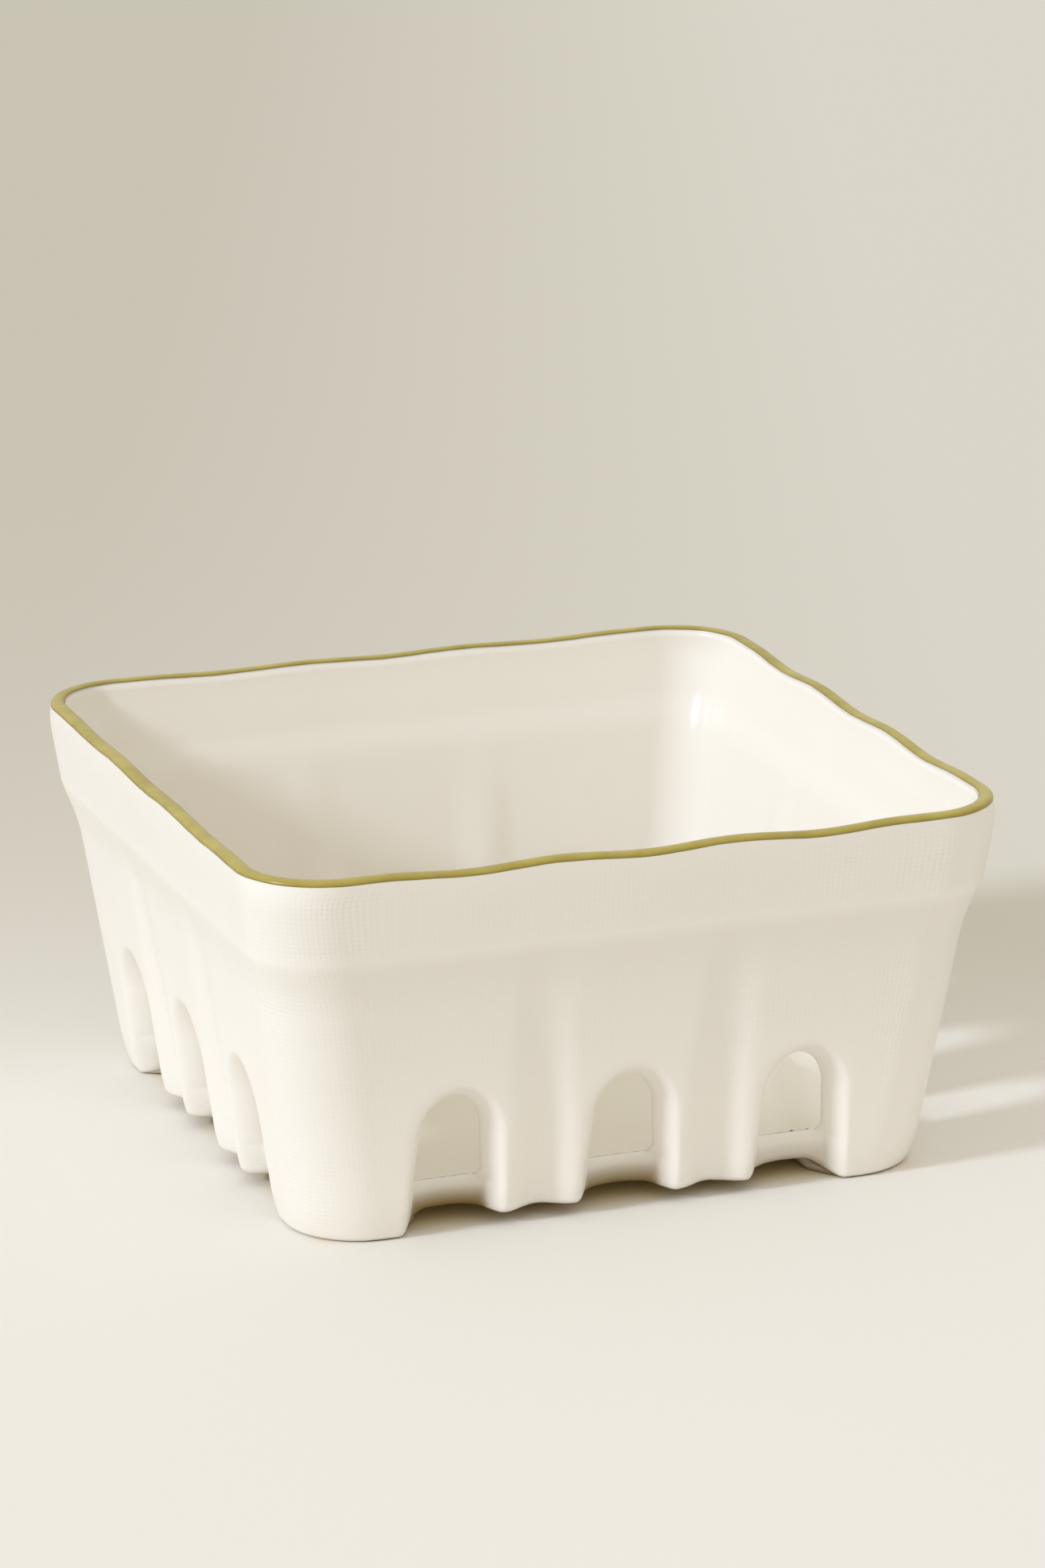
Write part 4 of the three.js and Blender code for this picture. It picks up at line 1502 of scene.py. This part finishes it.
@dataclass(frozen=True)
class OliveLipGlaze:
    """Brushed olive gloss glaze: mottled between a thin yellower crest tone and the body tone, darker where it
    pools at its edges.
    """

    crest: str = "#b8a952"
    body: str = "#a19240"
    pool: str = "#6c601f"
    roughness: float = 0.22
    roughness_spread: float = 0.12
    gloss: float = 0.35
    ior: float = 1.5
    brush_mm: float = 9.0
    brush_relief_mm: float = 0.2
    brush_strength: float = 0.2
    mottle_low: float = 0.32
    mottle_high: float = 0.68
    pool_share: float = 0.7

    def material(self) -> bpy.types.Material:
        """Makes the material.

        Returns:
            The material.
        """
        material, tree = new_tree("brushed_olive_lip_glaze")
        place = add_node(tree, "ShaderNodeTexCoord", {}, {})
        edge = add_node(tree, "ShaderNodeAttribute", {"attribute_name": Mask.EDGE.value}, {})
        brush = add_node(tree, "ShaderNodeTexNoise", {},
                         {"Vector": place.outputs["Object"], "Scale": fineness(self.brush_mm), "Detail": 4.0})
        mottle = add_node(tree, "ShaderNodeMapRange", {},
                          {0: brush.outputs[0], 1: self.mottle_low, 2: self.mottle_high})
        ground = add_node(tree, "ShaderNodeMix", {"data_type": "RGBA"},
                          {0: mottle.outputs[0], 6: linear(self.crest), 7: linear(self.body)})
        share = add_node(tree, "ShaderNodeMath", {"operation": "MULTIPLY"},
                         {0: edge.outputs["Fac"], 1: self.pool_share})
        colour = add_node(tree, "ShaderNodeMix", {"data_type": "RGBA"},
                          {0: share.outputs[0], 6: ground.outputs[2], 7: linear(self.pool)})
        bump = add_node(tree, "ShaderNodeBump", {},
                        {"Strength": self.brush_strength, "Distance": self.brush_relief_mm * MM,
                         "Height": brush.outputs[0]})
        rough = add_node(tree, "ShaderNodeMapRange", {},
                         {0: brush.outputs[0], 3: self.roughness, 4: self.roughness + self.roughness_spread})
        shader = add_node(tree, "ShaderNodeBsdfPrincipled", {},
                          {"Base Color": colour.outputs[2], "Roughness": rough.outputs[0], "IOR": self.ior,
                           "Specular IOR Level": self.gloss, "Normal": bump.outputs[0]})
        add_node(tree, "ShaderNodeOutputMaterial", {}, {"Surface": shader.outputs[0]})
        return material


@dataclass(frozen=True)
class TableTop:
    """Matt cream table that runs out of sight into a grey-beige ground."""

    near: str = "#ebe8e1"
    # Painted shade: the near table is a little darker on the right, where the basket's shadow falls.
    near_right_shaded: str = "#eae7e1"
    # Painted shadow: a warm darker tint on the table under the basket.
    under: str = "#ecd6a0"
    far: str = "#c3bfb2"
    far_right: str = "#d5d2c8"
    start_mm: float = 20.0
    end_mm: float = 190.0
    # The slant also starts the grey-beige earlier on the right, partly as painted shade in the basket's
    # shadow.
    shade_slant: float = 0.2
    fall_mm: float = 170.0
    turn_mm: float = 150.0
    right_shade_start_mm: float = 40.0
    right_shade_end_mm: float = 130.0
    shadow_tint_start_mm: float = 66.0
    shadow_tint_end_mm: float = 80.0
    roughness: float = 0.75
    gloss: float = 0.25
    grain_mm: float = 1.1
    grain_relief_mm: float = 0.1
    grain_strength: float = 0.25

    def material(self, ahead: Vector) -> bpy.types.Material:
        """Makes the material.

        The colour falls off along a slanted smooth step on the right and exponentially on the left. The slant
        starts the fall earlier on the right, partly as painted shade where the basket's shadow falls, and the
        near colour is painted a little darker on the right as shade. Under the basket a warm painted shadow is
        mixed in.

        Args:
            ahead: Level direction in which the table runs away.

        Returns:
            The material.
        """
        material, tree = new_tree("matt_cream_table")
        place = add_node(tree, "ShaderNodeTexCoord", {}, {})
        way = add_node(tree, "ShaderNodeVectorMath", {"operation": "DOT_PRODUCT"},
                       {0: place.outputs["Object"], 1: ahead})
        side = add_node(tree, "ShaderNodeVectorMath", {"operation": "DOT_PRODUCT"},
                        {0: place.outputs["Object"], 1: Vector((ahead.y, -ahead.x, 0.0))})
        # Slanted start of the fall, partly painted shade on the right.
        shade_slant = add_node(tree, "ShaderNodeMath", {"operation": "MULTIPLY_ADD"},
                         {0: side.outputs["Value"], 1: self.shade_slant, 2: way.outputs["Value"]})
        share = add_node(tree, "ShaderNodeMapRange", {"interpolation_type": "SMOOTHSTEP"},
                         {0: shade_slant.outputs[0], 1: self.start_mm * MM, 2: self.end_mm * MM})
        turn = add_node(tree, "ShaderNodeMapRange", {},
                        {0: side.outputs["Value"], 1: -self.turn_mm * MM, 2: self.turn_mm * MM})
        fall = add_node(tree, "ShaderNodeMath", {"operation": "MULTIPLY"},
                        {0: way.outputs["Value"], 1: -1.0 / (self.fall_mm * MM)})
        past = add_node(tree, "ShaderNodeMath", {"operation": "MINIMUM"}, {0: fall.outputs[0], 1: 0.0})
        rest = add_node(tree, "ShaderNodeMath", {"operation": "EXPONENT"}, {0: past.outputs[0]})
        slow = add_node(tree, "ShaderNodeMath", {"operation": "SUBTRACT"}, {0: 1.0, 1: rest.outputs[0]})
        depth = add_node(tree, "ShaderNodeMix", {"data_type": "FLOAT"},
                         {0: turn.outputs[0], 2: slow.outputs[0], 3: share.outputs[0]})
        ground = add_node(tree, "ShaderNodeMix", {"data_type": "RGBA"},
                          {0: turn.outputs[0], 6: linear(self.far), 7: linear(self.far_right)})
        # Painted shade: the near colour is a little darker on the right.
        edge = add_node(tree, "ShaderNodeMapRange", {"interpolation_type": "SMOOTHSTEP"},
                        {0: side.outputs["Value"], 1: self.right_shade_start_mm * MM, 2: self.right_shade_end_mm * MM})
        front = add_node(tree, "ShaderNodeMix", {"data_type": "RGBA"},
                         {0: edge.outputs[0], 6: linear(self.near), 7: linear(self.near_right_shaded)})
        open_ground = add_node(tree, "ShaderNodeMix", {"data_type": "RGBA"},
                               {0: depth.outputs[0], 6: front.outputs[2], 7: ground.outputs[2]})
        spot = add_node(tree, "ShaderNodeSeparateXYZ", {}, {0: place.outputs["Object"]})
        across = add_node(tree, "ShaderNodeMath", {"operation": "ABSOLUTE"}, {0: spot.outputs[0]})
        along = add_node(tree, "ShaderNodeMath", {"operation": "ABSOLUTE"}, {0: spot.outputs[1]})
        out = add_node(tree, "ShaderNodeMath", {"operation": "MAXIMUM"},
                       {0: across.outputs[0], 1: along.outputs[0]})
        # Painted shadow under the basket.
        under = add_node(tree, "ShaderNodeMapRange", {"interpolation_type": "SMOOTHSTEP"},
                         {0: out.outputs[0], 1: self.shadow_tint_start_mm * MM, 2: self.shadow_tint_end_mm * MM,
                          3: 1.0, 4: 0.0})
        colour = add_node(tree, "ShaderNodeMix", {"data_type": "RGBA"},
                          {0: under.outputs[0], 6: open_ground.outputs[2], 7: linear(self.under)})
        grain = add_node(tree, "ShaderNodeTexNoise", {},
                         {"Vector": place.outputs["Object"], "Scale": fineness(self.grain_mm), "Detail": 2.0})
        bump = add_node(tree, "ShaderNodeBump", {},
                        {"Strength": self.grain_strength, "Distance": self.grain_relief_mm * MM,
                         "Height": grain.outputs[0]})
        shader = add_node(tree, "ShaderNodeBsdfPrincipled", {},
                          {"Base Color": colour.outputs[2], "Roughness": self.roughness,
                           "Specular IOR Level": self.gloss, "Normal": bump.outputs[0]})
        add_node(tree, "ShaderNodeOutputMaterial", {}, {"Surface": shader.outputs[0]})
        return material


@dataclass
class Studio:
    """Camera, table and soft light from the left.

    Angles are in degrees, lengths in millimetres. Azimuth and elevation say where the camera stands.
    """

    azimuth: float = -20.497
    elevation: float = 16.189
    roll: float = -0.190
    distance: float = 1474.74
    shift_right: float = 3.178
    shift_up: float = 80.72
    lens: float = 134.83
    sensor: float = 36.0
    clip_end: float = 50000.0
    table_radius: float = 9000.0
    table_rings: tuple[float, ...] = (0.0, 0.1, 0.3, 1.0)
    table_steps: int = 96
    room_tint: str = "#fdf8ed"
    room_strength: float = 0.84
    window_tint: str = "#e5edff"
    window_source: tuple[float, float, float] = (-1.0, -0.18, 0.56)
    window_spread: float = 10.0
    window_strength: float = 1.84

    def camera(self) -> None:
        """Places the camera: its back axis from azimuth and elevation, its side axes turned by the roll."""
        a, e, r = radians(self.azimuth), radians(self.elevation), radians(self.roll)
        back = Vector((sin(a) * cos(e), -cos(a) * cos(e), sin(e)))
        level = (-back).cross(Vector((0.0, 0.0, 1.0))).normalized()
        above = level.cross(-back)
        right = cos(r) * level + sin(r) * above
        up = cos(r) * above - sin(r) * level
        spot = (back * self.distance + right * self.shift_right + up * self.shift_up) * MM
        data = bpy.data.cameras.new("camera")
        data.lens, data.sensor_width, data.sensor_fit = self.lens, self.sensor, "AUTO"
        data.clip_end = self.clip_end * MM
        camera = bpy.data.objects.new("camera", data)
        axes = Matrix((right, up, back)).transposed().to_4x4()
        camera.matrix_world = Matrix.Translation(spot) @ axes
        bpy.context.scene.collection.objects.link(camera)
        bpy.context.scene.camera = camera

    def table(self) -> None:
        """Makes the table, a round disc of rings about the origin."""
        angle = np.linspace(0.0, 2.0 * pi, self.table_steps + 1)[:-1]
        reach = np.array(self.table_rings)[:, None] * self.table_radius
        points = np.stack([reach * np.cos(angle), reach * np.sin(angle), 0.0 * reach * angle], -1)
        piece = Skin("table", [Sheet(points, wrap=True, flip=True)]).to_object()
        a = radians(self.azimuth)
        piece.data.materials.append(TableTop().material(Vector((-sin(a), cos(a), 0.0))))

    def light(self) -> None:
        """Lights the basket from a window on the left, as an even soft sun, and from all round."""
        scene = bpy.context.scene
        scene.view_settings.view_transform = "Standard"
        world = bpy.data.worlds.new("room")
        world.use_nodes = True
        room = world.node_tree.nodes["Background"]
        room.inputs["Color"].default_value = linear(self.room_tint)
        room.inputs["Strength"].default_value = self.room_strength
        scene.world = world
        data = bpy.data.lights.new("window", "SUN")
        data.energy, data.angle = self.window_strength, radians(self.window_spread)
        data.color = linear(self.window_tint)[:3]
        lamp = bpy.data.objects.new("window", data)
        lamp.rotation_euler = (-Vector(self.window_source)).to_track_quat("-Z", "Y").to_euler()
        scene.collection.objects.link(lamp)


def main() -> None:
    """Builds the basket, the table, the light and the camera."""
    logging.basicConfig(level=logging.INFO, format="%(name)s: %(message)s")
    form = BasketForm()
    for part in (StonewareBody(form), LinerGlaze(form), RimBand(form)):
        piece = part.build()
        part.dress(piece)
        LOG.info("%s: %d faces", piece.name, len(piece.data.polygons))
    studio = Studio()
    studio.camera()
    studio.table()
    studio.light()


if __name__ == "__main__":
    main()
